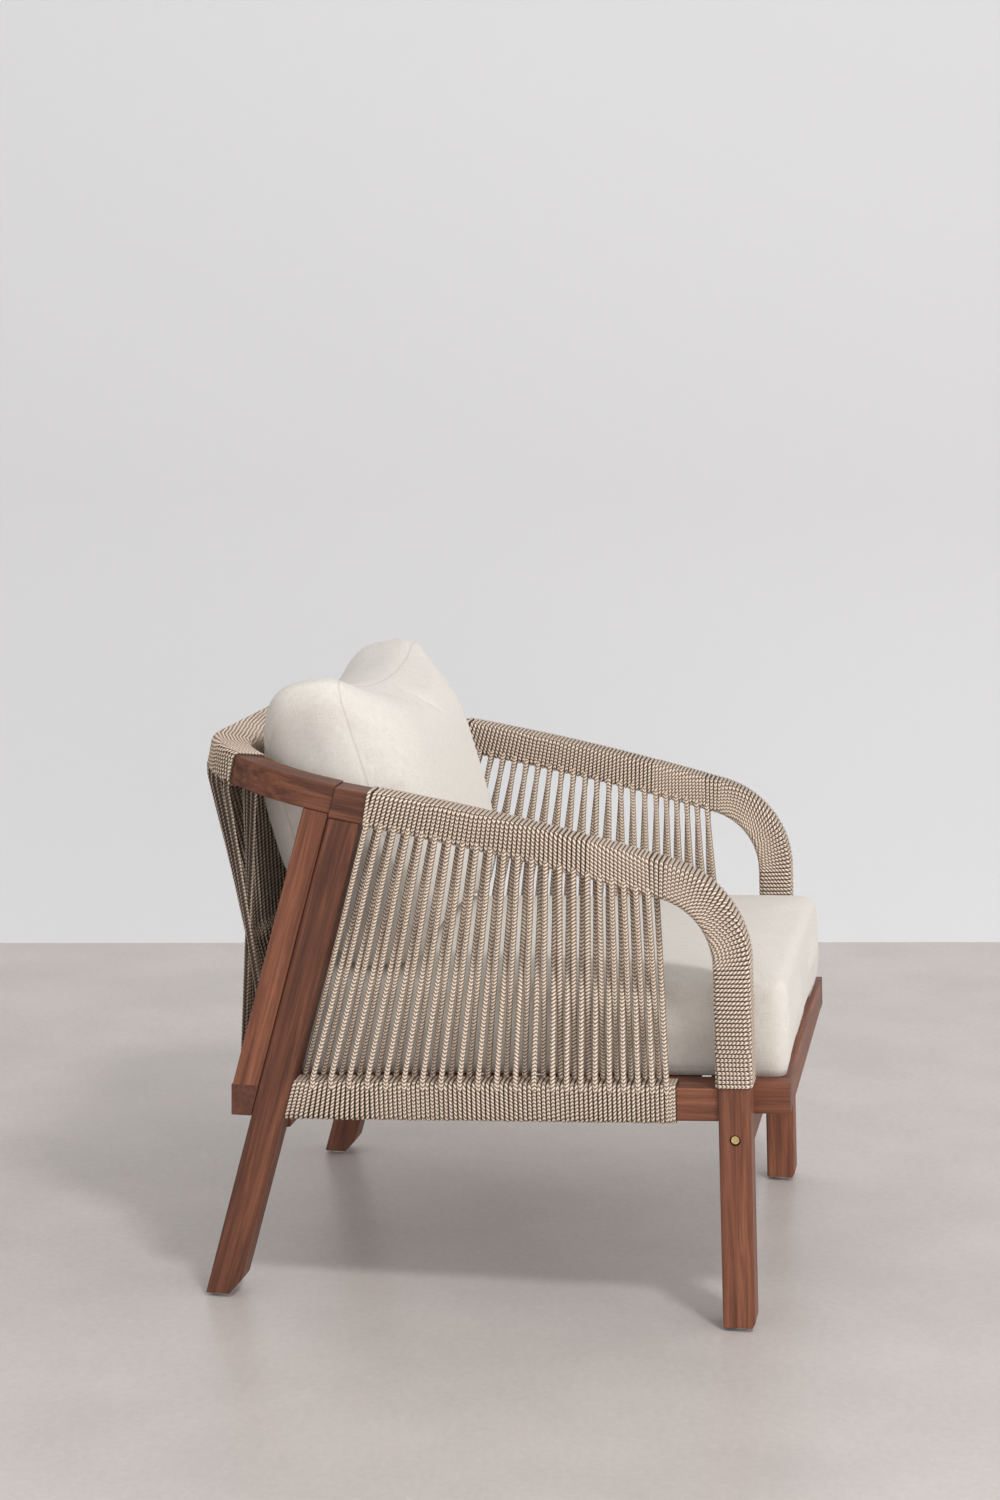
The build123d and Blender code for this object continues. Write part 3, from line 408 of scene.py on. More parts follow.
darkWood = dict(wood, dark=colour(52, 29, 21), middle=colour(104, 61, 43), light=colour(137, 86, 61))
paleWood = dict(wood, dark=colour(150, 116, 80), middle=colour(190, 156, 116), light=colour(212, 182, 144))
leanTurn, endTurn = radians(chair["backLean"]), radians(arm["endSlope"])
leanDirection = (0, -sin(leanTurn), cos(leanTurn))
deckUp = (0, tiltSin, tiltCos)
deckBack = (0, tiltCos, -tiltSin)
finishes = {
    "frontLegWood": woodFinish("frontLegWood", deckUp),
    "rearLegWood": woodFinish("rearLegWood", leanDirection, darkWood),
    "backPostWood": woodFinish("backPostWood", leanDirection),
    "acrossWood": woodFinish("acrossWood", (1, 0, 0)),
    "depthWood": woodFinish("depthWood", deckBack),
    "armWood": woodFinish("armWood", (0, cos(endTurn), sin(endTurn)), darkWood),
    "cornerWood": woodFinish("cornerWood", (0, climbCos, climbSin), darkWood),
    "dowelWood": woodFinish("dowelWood", (0, 0, 1), paleWood),
    "rope": ropeFinish(),
    "cloth": clothFinish(),
    "zinc": stainedFinish("yellowZinc", 320, 4, (178, 150, 92), (236, 218, 168), (0.2, 0.45), Metallic=1.0),
    "steel": stainedFinish(
        "brightSteel", 400, 3, (150, 152, 155), (196, 198, 200), Metallic=1.0, Roughness=0.3
    ),
    "glide": stainedFinish("glidePlastic", 180, 5, (196, 196, 192), (226, 226, 222), (0.2, 0.5)),
}
nodeFinish = {
    "front_leg": "frontLegWood",
    "rear_leg": "rearLegWood",
    "back_post": "backPostWood",
    "arm_bend": "frontLegWood",
    "arm_rail": "armWood",
    "back_rail_corner": "cornerWood",
    "lower_side_rail": "depthWood",
    "seat_side_rail": "depthWood",
    "seat_ledger": "depthWood",
    "arm_dowels": "dowelWood",
    "back_dowels": "dowelWood",
    "stretcher_bolts": "zinc",
    "back_bolts": "zinc",
    "barrel_nuts": "steel",
    "threaded_inserts": "steel",
    "seat_screws": "steel",
    "foot_glides": "glide",
}


def finishNodes():
    for name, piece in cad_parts.items():
        plain = name.removeprefix("left_").removeprefix("right_")
        finish = finishes[nodeFinish.get(plain, "acrossWood")]
        if not piece.material_slots:
            piece.data.materials.append(finish)
        for held in piece.material_slots:
            held.material = finish


finishNodes()
print("frame finished")


# Rope trees

def newTree(name, sizes):
    tree = bpy.data.node_groups.new(name, "GeometryNodeTree")
    tree.interface.new_socket("Geometry", in_out="INPUT", socket_type="NodeSocketGeometry")
    for label, kind in sizes.items():
        tree.interface.new_socket(label, in_out="INPUT", socket_type="NodeSocket" + kind)
    tree.interface.new_socket("Geometry", in_out="OUTPUT", socket_type="NodeSocketGeometry")
    return tree, tree.nodes.new("NodeGroupInput"), tree.nodes.new("NodeGroupOutput")


def keepValue(tree, geometry, name, value, kind="FLOAT_VECTOR"):
    return addNode(
        tree, "GeometryNodeStoreNamedAttribute", {"data_type": kind, "domain": "POINT"},
        Geometry=geometry, Name=name, Value=value,
    ).outputs[0]


def ropeTube(tree, curve, radius, sides, material):
    # a round cord along a curve that keeps its length along and its direction round as attributes
    length = tree.nodes.new("GeometryNodeSplineParameter").outputs["Length"]
    curve = keepValue(tree, curve, "ropeAlong", length, "FLOAT")
    ring = addNode(
        tree, "GeometryNodeCurvePrimitiveCircle", {"mode": "RADIUS"}, Resolution=sides, Radius=radius
    ).outputs["Curve"]
    place = tree.nodes.new("GeometryNodeInputPosition").outputs[0]
    ring = keepValue(tree, ring, "ropeRound", vectorNode(tree, "NORMALIZE", place))
    tube = addNode(
        tree, "GeometryNodeCurveToMesh", Curve=curve, Profile_Curve=ring, Fill_Caps=True
    ).outputs[0]
    tube = addNode(tree, "GeometryNodeSetShadeSmooth", Geometry=tube).outputs[0]
    tube = addNode(tree, "GeometryNodeRealizeInstances", Geometry=tube).outputs[0]
    return addNode(tree, "GeometryNodeSetMaterial", Geometry=tube, Material=material).outputs[0]


def windingTree():
    # one cord wound round a bar: the guide has a point for each turn, and a ring gives the bar's section
    tree, given, made = newTree("woundRope", {
        "Turns": "Int", "Ring Width": "Float", "Ring Height": "Float", "Ring Corner": "Float",
        "Across": "Vector", "Radius": "Float", "Sides": "Int", "Unevenness": "Float", "Material": "Material",
    })
    sizes = given.outputs
    ring = addNode(
        tree, "GeometryNodeCurvePrimitiveQuadrilateral", {"mode": "RECTANGLE"},
        Width=sizes["Ring Width"], Height=sizes["Ring Height"],
    ).outputs[0]
    ring = addNode(
        tree, "GeometryNodeFilletCurve", {"mode": "POLY"}, Curve=ring, Count=4, Radius=sizes["Ring Corner"]
    ).outputs[0]
    perTurn = addNode(
        tree, "GeometryNodeAttributeDomainSize", {"component": "CURVE"}, Geometry=ring
    ).outputs["Point Count"]
    total = mathNode(tree, "MULTIPLY_ADD", sizes["Turns"], perTurn, 1.0)
    line = addNode(tree, "GeometryNodeMeshLine", {"mode": "OFFSET"}, Count=total).outputs[0]
    index = tree.nodes.new("GeometryNodeInputIndex").outputs[0]
    # each turn starts at the inner corner underneath and steps along the bar while it crosses the under side
    stage = mathNode(tree, "FLOORED_MODULO", index, perTurn)
    turn = mathNode(tree, "FLOOR", mathNode(tree, "DIVIDE", mathNode(tree, "ADD", index, 0.01), perTurn))
    done = mathNode(tree, "ADD", turn, mathNode(tree, "MINIMUM", stage, 1.0))
    first = mathNode(tree, "MULTIPLY_ADD", perTurn, 0.75, -1.0)
    spot = mathNode(tree, "FLOORED_MODULO", mathNode(tree, "ADD", index, first), perTurn)
    place = tree.nodes.new("GeometryNodeInputPosition").outputs[0]
    upward = addNode(
        tree, "GeometryNodeInputNamedAttribute", {"data_type": "FLOAT_VECTOR"}, Name="ringUp"
    ).outputs[0]

    def sampled(geometry, value, which):
        return addNode(
            tree, "GeometryNodeSampleIndex", {"data_type": "FLOAT_VECTOR", "domain": "POINT", "clamp": True},
            Geometry=geometry, Value=value, Index=which,
        ).outputs[0]

    parts = addNode(tree, "ShaderNodeSeparateXYZ", Vector=sampled(ring, place, spot))
    stepped = mathNode(tree, "MULTIPLY", done, 1.7)
    sway = addNode(tree, "ShaderNodeTexNoise", {"noise_dimensions": "1D"}, W=stepped, Scale=1.0).outputs[0]
    swell = mathNode(tree, "MULTIPLY_ADD", mathNode(tree, "SUBTRACT", sway, 0.5), sizes["Unevenness"], 1.0)
    guideUp = sampled(sizes["Geometry"], upward, done)
    offset = vectorNode(
        tree, "ADD",
        vectorNode(tree, "SCALE", sizes["Across"], scale=mathNode(tree, "MULTIPLY", parts.outputs[0], swell)),
        vectorNode(tree, "SCALE", guideUp, scale=mathNode(tree, "MULTIPLY", parts.outputs[1], swell)),
    )
    middle = sampled(sizes["Geometry"], place, done)
    wound = addNode(
        tree, "GeometryNodeSetPosition", Geometry=line, Position=vectorNode(tree, "ADD", middle, offset)
    ).outputs[0]
    # the direction along the bar: the sides of each turn that face it get painted shade in the rope's finish
    beside = vectorNode(tree, "NORMALIZE", vectorNode(tree, "CROSS_PRODUCT", sizes["Across"], guideUp))
    wound = keepValue(tree, wound, "ropeShadedSide", beside)
    curve = addNode(tree, "GeometryNodeMeshToCurve", Mesh=wound).outputs[0]
    tree.links.new(ropeTube(tree, curve, sizes["Radius"], sizes["Sides"], sizes["Material"]), made.inputs[0])
    return tree


def strandTree():
    # straight cords along the guide's edges, with a little slack sideways
    tree, given, made = newTree("strungRope", {
        "Pieces": "Int", "Radius": "Float", "Sides": "Int", "Slack": "Float", "ShadedSide": "Vector",
        "Material": "Material",
    })
    sizes = given.outputs
    curve = addNode(tree, "GeometryNodeMeshToCurve", Mesh=sizes["Geometry"]).outputs[0]
    curve = addNode(tree, "GeometryNodeResampleCurve", Curve=curve, Count=sizes["Pieces"]).outputs[0]
    place = tree.nodes.new("GeometryNodeInputPosition").outputs[0]
    sway = addNode(tree, "ShaderNodeTexNoise", Vector=place, Scale=9.0, Detail=1.0).outputs["Color"]
    sway = vectorNode(tree, "SUBTRACT", sway, (0.5, 0.5, 0.5))
    factor = tree.nodes.new("GeometryNodeSplineParameter").outputs["Factor"]
    free = mathNode(tree, "SINE", mathNode(tree, "MULTIPLY", factor, pi))
    amount = mathNode(tree, "MULTIPLY", free, sizes["Slack"])
    curve = addNode(
        tree, "GeometryNodeSetPosition", Geometry=curve, Offset=vectorNode(tree, "SCALE", sway, scale=amount)
    ).outputs[0]
    # the sides facing this direction get painted shade in the rope's finish, the stronger the longer the
    # vector
    curve = keepValue(tree, curve, "ropeShadedSide", sizes["ShadedSide"])
    tree.links.new(ropeTube(tree, curve, sizes["Radius"], sizes["Sides"], sizes["Material"]), made.inputs[0])
    return tree


windingNodes = windingTree()
strandNodes = strandTree()


def guideObject(name, points, edges, upward=None):
    mesh = bpy.data.meshes.new(name)
    mesh.from_pydata([tuple(point) for point in points], edges, [])
    if upward:
        kept = mesh.attributes.new("ringUp", "FLOAT_VECTOR", "POINT")
        for value, direction in zip(kept.data, upward):
            value.vector = direction
    guide = bpy.data.objects.new(name, mesh)
    scene.collection.objects.link(guide)
    return guide


def growPiece(name, guide, tree, values):
    # runs a tree on a guide and keeps the result as a plain mesh
    modifier = guide.modifiers.new("grow", "NODES")
    modifier.node_group = tree
    for item in tree.interface.items_tree:
        if item.in_out == "INPUT" and item.name in values:
            modifier[item.identifier] = values[item.name]
    bpy.context.view_layer.update()
    drawn = guide.evaluated_get(bpy.context.evaluated_depsgraph_get())
    mesh = bpy.data.meshes.new_from_object(drawn)
    guide.modifiers.remove(modifier)
    mesh.name = name
    piece = bpy.data.objects.new(name, mesh)
    scene.collection.objects.link(piece)
    bpy.data.objects.remove(guide)
    return piece


def ropePiece(piece, *replaced):
    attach(piece, "frame")
    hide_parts(*replaced)
    print("rope piece", piece.name, len(piece.data.polygons), "faces")


# Arms: the middle line in side view and the strands that hang from it

postFoot = deckPoint(0, chair["legSetback"], arm["shoulder"])
postLength = (arm["postTop"] - postFoot.z) / tiltCos
postHeading = radians(90 - chair["seatTilt"])
slope = radians(arm["slope"])
bendLength = arm["bendRadius"] * (postHeading - slope)
postTop = Vector((postFoot.y + postLength * tiltSin, arm["postTop"]))
bendCentre = postTop + arm["bendRadius"] * Vector((tiltCos, -tiltSin))
crownCentre = bendCentre + (arm["crownRadius"] - arm["bendRadius"]) * Vector((sin(slope), -cos(slope)))
blockHeading = asin((crownCentre.x - frontY - arm["wrapSetback"]) / arm["crownRadius"])
armLength = postLength + bendLength + arm["crownRadius"] * (slope - blockHeading)


def armPath(run):
    # side-view point and heading at a run along the middle line from the leg's shoulder
    if run <= postLength:
        return Vector((postFoot.y + run * tiltSin, postFoot.z + run * tiltCos)), postHeading
    run -= postLength
    if run <= bendLength:
        heading, centre, radius = postHeading - run / arm["bendRadius"], bendCentre, arm["bendRadius"]
    else:
        heading = slope - (run - bendLength) / arm["crownRadius"]
        centre, radius = crownCentre, arm["crownRadius"]
    return centre + radius * Vector((-sin(heading), cos(heading))), heading


def zoned(start, end, share, wide, part):
    # steps from start to end, wider over the first share of them, which covers a part of the way
    if share <= wide:
        way = share * part / wide
    else:
        way = part + (share - wide) * (1 - part) / (1 - wide)
    return start + (end - start) * way


armHalf = arm["coreThick"] / 2 + 2 * ropeRadius
railHalf = sideRail["coreHeight"] / 2 + 2 * ropeRadius


def strandTop(index):
    share = index / (sideStrands["count"] - 1)
    ends = (sideStrands["topRear"], sideStrands["topFront"])
    setback = zoned(*ends, share, sideStrands["topWide"], sideStrands["topPart"])
    radius = arm["crownRadius"] - armHalf
    heading = asin((crownCentre.x - frontY - setback) / radius)
    return Vector((frontY + setback, crownCentre.y + radius * cos(heading)))


def strandFootSetback(index):
    share = index / (sideStrands["count"] - 1)
    ends = (sideStrands["footRear"], sideStrands["footFront"])
    return zoned(*ends, share, sideStrands["footWide"], sideStrands["footPart"])


def strandFoot(index):
    foot = deckPoint(0, strandFootSetback(index), railHalf - sideRail["drop"])
    return Vector((foot.y, foot.z))


def armRunAbove(index):
    # where the line of an outer strand meets the arm's middle line
    top = strandTop(index)
    rise = (top - strandFoot(index - sideStrands["footLead"])).normalized()
    away = top - crownCentre
    reach = sqrt(away.dot(rise) ** 2 - away.length_squared + arm["crownRadius"] ** 2) - away.dot(rise)
    point = top + rise * reach
    heading = asin((crownCentre.x - point.x) / arm["crownRadius"])
    return postLength + bendLength + arm["crownRadius"] * (slope - heading), rise


def leaningUp(run, rise, share=1.0):
    # the direction that a turn takes up the arm's sides, long enough to span the arm's thickness
    heading = armPath(run)[1]
    square = Vector((-sin(heading), cos(heading)))
    direction = square.lerp(rise, share).normalized()
    return direction / direction.dot(square)


def frontRuns(frontRun):
    # the runs of the turns up the post and round the bend, each stretch with its own pitch
    stretches = (
        (ropeRadius, postLength, arm["postPitch"]),
        (postLength, postLength + bendLength, arm["bendPitch"]),
        (postLength + bendLength, frontRun, arm["crownPitch"]),
    )
    total = sum((end - start) / pitch for start, end, pitch in stretches)
    turns = round(total)
    runs = []
    for number in range(turns):
        left = number * total / turns
        for start, end, pitch in stretches:
            if left * pitch <= end - start:
                runs.append(start + left * pitch)
                break
            left -= (end - start) / pitch
    return runs


def armGuide():
    # a point and an up direction for each turn from the leg's shoulder to the rear end
    lastStrand = sideStrands["count"] - 1
    frontRun, frontRise = armRunAbove(lastStrand)
    rearRun, rearRise = armRunAbove(0)
    leanFrom = arm["leanFrom"] * postLength
    turns = []
    for run in frontRuns(frontRun):
        blend = min(1, max(0, (run - leanFrom) / (frontRun - leanFrom)))
        turns.append((run, leaningUp(run, frontRise, blend * blend)))
    for step in range(sideStrands["armTurns"] * lastStrand + 1):
        run, rise = armRunAbove(lastStrand - step / sideStrands["armTurns"])
        turns.append((run, leaningUp(run, rise)))
    rearEnd = armLength - ropeRadius
    rearTurns = max(1, round((rearEnd - rearRun) / arm["crownPitch"]))
    for step in range(1, rearTurns + 1):
        run = rearRun + (rearEnd - rearRun) * step / rearTurns
        turns.append((run, leaningUp(run, rearRise, 1 - step / rearTurns)))
    return [(armPath(run)[0], up) for run, up in turns]


def sidePoint(side, point):
    return Vector((side * sideMid, point[0], point[1]))


windingSides = 8
ringCorner = 0.0058
unevenTurns = 0.03
strandRadius = 0.0037
strandSides = 10
strandPieces = 28
strandSlack = 0.0022


def windBar(name, turns, width, height, across, replaced):
    # turns holds a point and an up direction for each turn; the first is doubled for the cord's start
    turns = turns[:1] + turns
    guide = guideObject(name + "Guide", [turn[0] for turn in turns], [], [turn[1] for turn in turns])
    values = {
        "Turns": len(turns) - 1,
        "Ring Width": width + 2 * ropeRadius,
        "Ring Height": height + 2 * ropeRadius,
        "Ring Corner": ringCorner,
        "Across": across,
        "Radius": ropeRadius,
        "Sides": windingSides,
        "Unevenness": unevenTurns,
        "Material": finishes["rope"],
    }
    ropePiece(growPiece(name, guide, windingNodes, values), replaced)


def windArm(side, name, replaced):
    turns = [(sidePoint(side, point), Vector((0, up.x, up.y))) for point, up in armGuide()]
    windBar(name, turns, arm["coreWidth"], arm["coreThick"], (side, 0, 0), replaced)


def railFan(run):
    # how far the turns lean at a run along the side rail, until the last one lies along the rear leg
    share = max(0, 1 - (sideRail["end"] - run) / sideRail["fan"])
    return share * radians(chair["backLean"] + chair["seatTilt"])


def railRunUnder(index):
    # the run on the rail's middle line of the turn that an outer strand foot comes down to
    foot = strandFootSetback(index)
    run = foot
    for _ in range(6):
        run = foot + railHalf * tan(railFan(run))
    return run


def windSideRail(side, name, replaced):
    lastStrand = sideStrands["count"] - 1
    frontEnd = sideRail["wrapFront"] + ropeRadius
    runs = [frontEnd, (frontEnd + railRunUnder(lastStrand)) / 2]
    for number in range(lastStrand, 0, -1):
        count = sideStrands["closeTurns"] if number > sideStrands["wideSteps"] else sideStrands["wideTurns"]
        runs += [railRunUnder(number - step / count) for step in range(count)]
    rearRun, rearEnd = railRunUnder(0), sideRail["end"] - ropeRadius
    rearTurns = round((rearEnd - rearRun) / arm["crownPitch"])
    runs += [rearRun + (rearEnd - rearRun) * step / rearTurns for step in range(rearTurns + 1)]
    turns = [
        (
            deckPoint(side * sideMid, run, -sideRail["drop"]),
            Vector(deckUp) - Vector(deckBack) * tan(railFan(run)),
        )
        for run in runs
    ]
    windBar(name, turns, sideRail["coreWidth"], sideRail["coreHeight"], (side, 0, 0), replaced)


def stringSide(side, name, replaced, crossing):
    # one layer: outer edge of the arm to the inner edge of the rail, or the reverse
    armIn = arm["coreWidth"] / 2 + ropeRadius
    railIn = sideRail["coreWidth"] / 2 + ropeRadius
    points, edges = [], []
    for number in range(sideStrands["count"]):
        topIndex, footIndex, outward = number, number - sideStrands["footLead"], 1
        if crossing:
            topIndex, footIndex, outward = number + sideStrands["topLag"], number, -1
        top, foot = strandTop(topIndex), strandFoot(footIndex)
        rise = (top - foot).normalized() * sideStrands["tuck"]
        down = Vector((-tiltSin, -tiltCos)) * sideStrands["tuck"]
        topX, footX = side * (sideMid + outward * armIn), side * (sideMid - outward * railIn)
        start = len(points)
        points += [
            Vector((topX, *(top + rise))),
            Vector((topX, *top)),
            Vector((footX, *foot)),
            Vector((footX, *(foot + down))),
        ]
        edges += [(start, start + 1), (start + 1, start + 2), (start + 2, start + 3)]
    strandPiece(name, points, edges, (0, sideStrands["shade"], 0), replaced)


def strandPiece(name, points, edges, beside, replaced):
    guide = guideObject(name + "Guide", points, edges)
    values = {
        "Pieces": strandPieces,
        "Radius": strandRadius,
        "Sides": strandSides,
        "Slack": strandSlack,
        "ShadedSide": beside,
        "Material": finishes["rope"],
    }
    ropePiece(growPiece(name, guide, strandNodes, values), replaced)


# Back: the top rail's middle line in its own climbing plane

climbOrigin = Vector((0, frontY + backRail["setback"], backRail["height"]))
climbUp = Vector((0, -climbSin, climbCos))
railWrapThick = backRail["coreThick"] + 4 * ropeRadius
railWrapWidth = backRail["coreWidth"] + 4 * ropeRadius
cornerMiddle = backRail["outer"] - backRail["cornerRadius"]
cornerRun = backRail["cornerRadius"] - backRail["width"] / 2
railRear = (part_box("back_top_wrap")[1][1] - climbOrigin.y) / climbCos
railRear -= railWrapThick / 2 * climbSin / climbCos + railWrapWidth / 2 - backRail["width"] / 2
cornerY = railRear - backRail["cornerRadius"]
railWrapEnd = cornerMiddle + cornerRun * radians(backRail["wrapTurn"])


def climbPoint(x, y, z):
    return climbOrigin + Vector((x, y * climbCos, y * climbSin)) + climbUp * z


def railPath(run):
    side = 1 if run >= 0 else -1
    reach = abs(run)
    if reach <= cornerMiddle:
        return side * reach, railRear - backRail["width"] / 2, 0.0
    turn = (reach - cornerMiddle) / cornerRun
    return side * (cornerMiddle + cornerRun * sin(turn)), cornerY + cornerRun * cos(turn), side * turn


def windTopRail(name, replaced):
    end = railWrapEnd - ropeRadius
    steps = round(2 * end / backRail["pitch"])
    turns = []
    for step in range(steps + 1):
        x, y, turn = railPath(-end + 2 * end * step / steps)
        inward = Vector((-sin(turn), -cos(turn) * climbCos, -cos(turn) * climbSin))
        turns.append((climbPoint(x, y, 0), inward))
    windBar(name, turns, backRail["coreThick"], backRail["coreWidth"], tuple(climbUp), replaced)


lowMiddle = Vector((
    0,
    frontY + (lowRail["coreFront"] + lowRail["coreRear"]) / 2,
    (lowRail["coreBottom"] + lowRail["coreTop"]) / 2,
))
lowDepth = lowRail["coreRear"] - lowRail["coreFront"]
lowHeight = lowRail["coreTop"] - lowRail["coreBottom"]


def windLowRail(name, replaced):
    end = lowRail["half"] - ropeRadius
    steps = round(2 * end / lowRail["pitch"])
    runs = [-end + 2 * end * step / steps for step in range(steps + 1)]
    turns = [(lowMiddle + Vector((run, 0, 0)), Vector((0, 0, 1))) for run in runs]
    windBar(name, turns, lowDepth, lowHeight, (0, 1, 0), replaced)


def stringBack(name, replaced, crossing):
    # one layer: rear of the top rail to the front of the low rail, or the reverse, half a step aside
    side = -1 if crossing else 1
    gaps = backStrands["count"] - 1
    topOut = side * (railWrapWidth / 2 - ropeRadius)
    footOut = side * (lowDepth / 2 + ropeRadius)
    points, edges = [], []
    for number in range(gaps if crossing else gaps + 1):
        share = 2 * (number + (0.5 if crossing else 0)) / gaps - 1
        x, y, turn = railPath(share * (railWrapEnd - backStrands["margin"]))
        top = climbPoint(x + topOut * sin(turn), y + topOut * cos(turn), -railWrapThick / 2)
        swing = topOut * cos(turn) * climbCos
        passing = swing / (swing + footOut)
        footX = (share * backStrands["reach"] - top.x * (1 - passing)) / passing
        foot = lowMiddle + Vector((footX, -footOut, lowHeight / 2 + 2 * ropeRadius))
        start = len(points)
        points += [
            top + climbUp * backStrands["tuck"],
            top,
            foot,
            foot - Vector((0, 0, backStrands["tuck"])),
        ]
        edges += [(start, start + 1), (start + 1, start + 2), (start + 2, start + 3)]
    strandPiece(name, points, edges, (backStrands["shade"], 0, 0), replaced)


for sideName, side in (("left", -1), ("right", 1)):
    windArm(side, sideName + "ArmWinding", sideName + "_arm_wrap")
    windSideRail(side, sideName + "RailWinding", sideName + "_side_wrap")
    stringSide(side, sideName + "OuterStrands", sideName + "_outer_strands", False)
    stringSide(side, sideName + "InnerStrands", sideName + "_inner_strands", True)
windTopRail("backTopWinding", "back_top_wrap")
windLowRail("backLowWinding", "back_lower_wrap")
stringBack("backOuterStrands", "back_outer_strands", False)
stringBack("backInnerStrands", "back_inner_strands", True)
print("rope strung")


# Cushions

seatPad = {
    "width": 0.590, "height": 0.644, "edge": 0.1230, "crown": 0.010, "crownReach": 0.25,
    "frontInset": 0.004, "rearInset": 0.004, "corner": 0.024, "roll": 0.014,
    "waistX": 0.002, "waistY": 0.002, "waistFoot": 0.002, "footTurn": 0.0,
    "pressure": 2.0, "cap": 0.004, "seam": 0.0, "pucker": 0.0004, "crease": 0.0, "fill": 0.9,
}
backPad = {
    "width": 0.576, "height": 0.398, "edge": 0.112, "crown": 0.050, "crownReach": 0.34,
    "frontInset": 0.012, "rearInset": 0.042, "corner": 0.046, "roll": 0.0,
    "waistX": 0.012, "waistY": 0.032, "waistFoot": 0.008, "footTurn": 14.9,
    "pressure": 4.0, "cap": 0.010, "seam": 0.0020, "pucker": 0.0010, "crease": 0.9, "fill": 0.8,
}
padCell = 0.0085
insetPower = 2.6
crownPower = 2.2
fillFrames = 20
gatherReach = 0.035
gathers = ((1.0, (23, 17, 2)), (0.5, (51, 39, 3)))


def padLattice(pad):
    # the outside of a box of cells: places from -1 to 1, quads, and the edges that are sewn
    counts = [max(4, round(pad[key] / padCell)) for key in ("width", "height", "edge")]
    index, places, quads, sewn = {}, [], [], set()

    def corner(spot):
        if spot not in index:
            index[spot] = len(places)
            places.append(tuple(2 * at / count - 1 for at, count in zip(spot, counts)))
        return index[spot]

    for axis in range(3):
        one, two = (axis + 1) % 3, (axis + 2) % 3
        for end in (0, counts[axis]):
            for i in range(counts[one]):
                for j in range(counts[two]):
                    ring = []
                    for di, dj in ((0, 0), (1, 0), (1, 1), (0, 1)):
                        spot = [0, 0, 0]
                        spot[axis], spot[one], spot[two] = end, i + di, j + dj
                        ring.append(corner(tuple(spot)))
                    quads.append(ring if end else ring[::-1])
    for spot, at in index.items():
        for axis in (0, 1):
            beside = list(spot)
            beside[axis] += 1
            flat = spot[2] in (0, counts[2]) and spot[1 - axis] in (0, counts[1 - axis])
            if flat and tuple(beside) in index:
                sewn.add((at, index[tuple(beside)]))
    return places, quads, sewn


def rolled(point, halves, roll):
    # pulls a point of a box onto the same box with its long edges rounded over
    x, y, z = point
    level = halves[2] - abs(z)
    side = min(halves[0] - abs(x), halves[1] - abs(y))
    if level >= roll or side >= roll:
        return x, y, z
    depth = (roll - level, roll - side)
    pull = roll / max(roll, sqrt(depth[0] ** 2 + depth[1] ** 2))
    z = (1 if z > 0 else -1) * (halves[2] - roll + depth[0] * pull)
    shift = (1 - pull) * depth[1]
    if halves[0] - abs(x) < roll:
        x -= (1 if x > 0 else -1) * shift
    if halves[1] - abs(y) < roll:
        y -= (1 if y > 0 else -1) * shift
    return x, y, z


def padShape(pad, place):
    # a lattice place to its point on the filled cushion
    a, b, c = place
    halfX, halfY, halfZ = pad["width"] / 2, pad["height"] / 2, pad["edge"] / 2
    inset = pad["frontInset" if c > 0 else "rearInset"] * abs(c) ** insetPower
    x, y = a * (halfX - inset), b * (halfY - inset)
    inner = (halfX - inset - pad["corner"], halfY - inset - pad["corner"])
    over = (max(0, abs(x) - inner[0]), max(0, abs(y) - inner[1]))
    if over[0] > 0 and over[1] > 0:
        pull = max(over) / sqrt(over[0] ** 2 + over[1] ** 2)
        x = (1 if x > 0 else -1) * (inner[0] + over[0] * pull)
        y = (1 if y > 0 else -1) * (inner[1] + over[1] * pull)
    reach = pad["crownReach"] * pad["height"]
    rise = 1
    for half, at in ((halfX - inset, abs(x)), (halfY - inset, abs(y))):
        rise *= 1 - (1 - min(1, max(0, half - at) / reach)) ** crownPower
    z = c * halfZ
    # rolled edges: points of the side near a panel, and of a panel near the side, lie on a quarter circle
    roll = pad["roll"]
    if roll:
        x, y, z = rolled((x, y, z), (halfX - inset, halfY - inset, halfZ), roll)
    if abs(c) > 0.999:
        z += (1 if c > 0 else -1) * pad["crown"] * rise
    drawnX = 1 - pad["waistX"] / halfX * (1 - b * b)
    drawnY = 1 - pad["waistY" if b > 0 else "waistFoot"] / halfY * (1 - a * a)
    # the front half of the foot turns down to lie on what it stands on
    foot = max(0, z) * tan(radians(pad["footTurn"])) * max(0, -b) ** 2
    return Vector((x * drawnX, y * drawnY - foot, z))


def flatMap(pad, place, normal):
    # where a point lies on the cloth before it was sewn: panels by x and y, sides by run and height
    a, b, c = place
    if abs(normal.z) > 0.7:
        return a * pad["width"] / 2, b * pad["height"] / 2
    if abs(normal.x) > abs(normal.y):
        return b * pad["height"] / 2, c * pad["edge"] / 2
    return a * pad["width"] / 2, c * pad["edge"] / 2


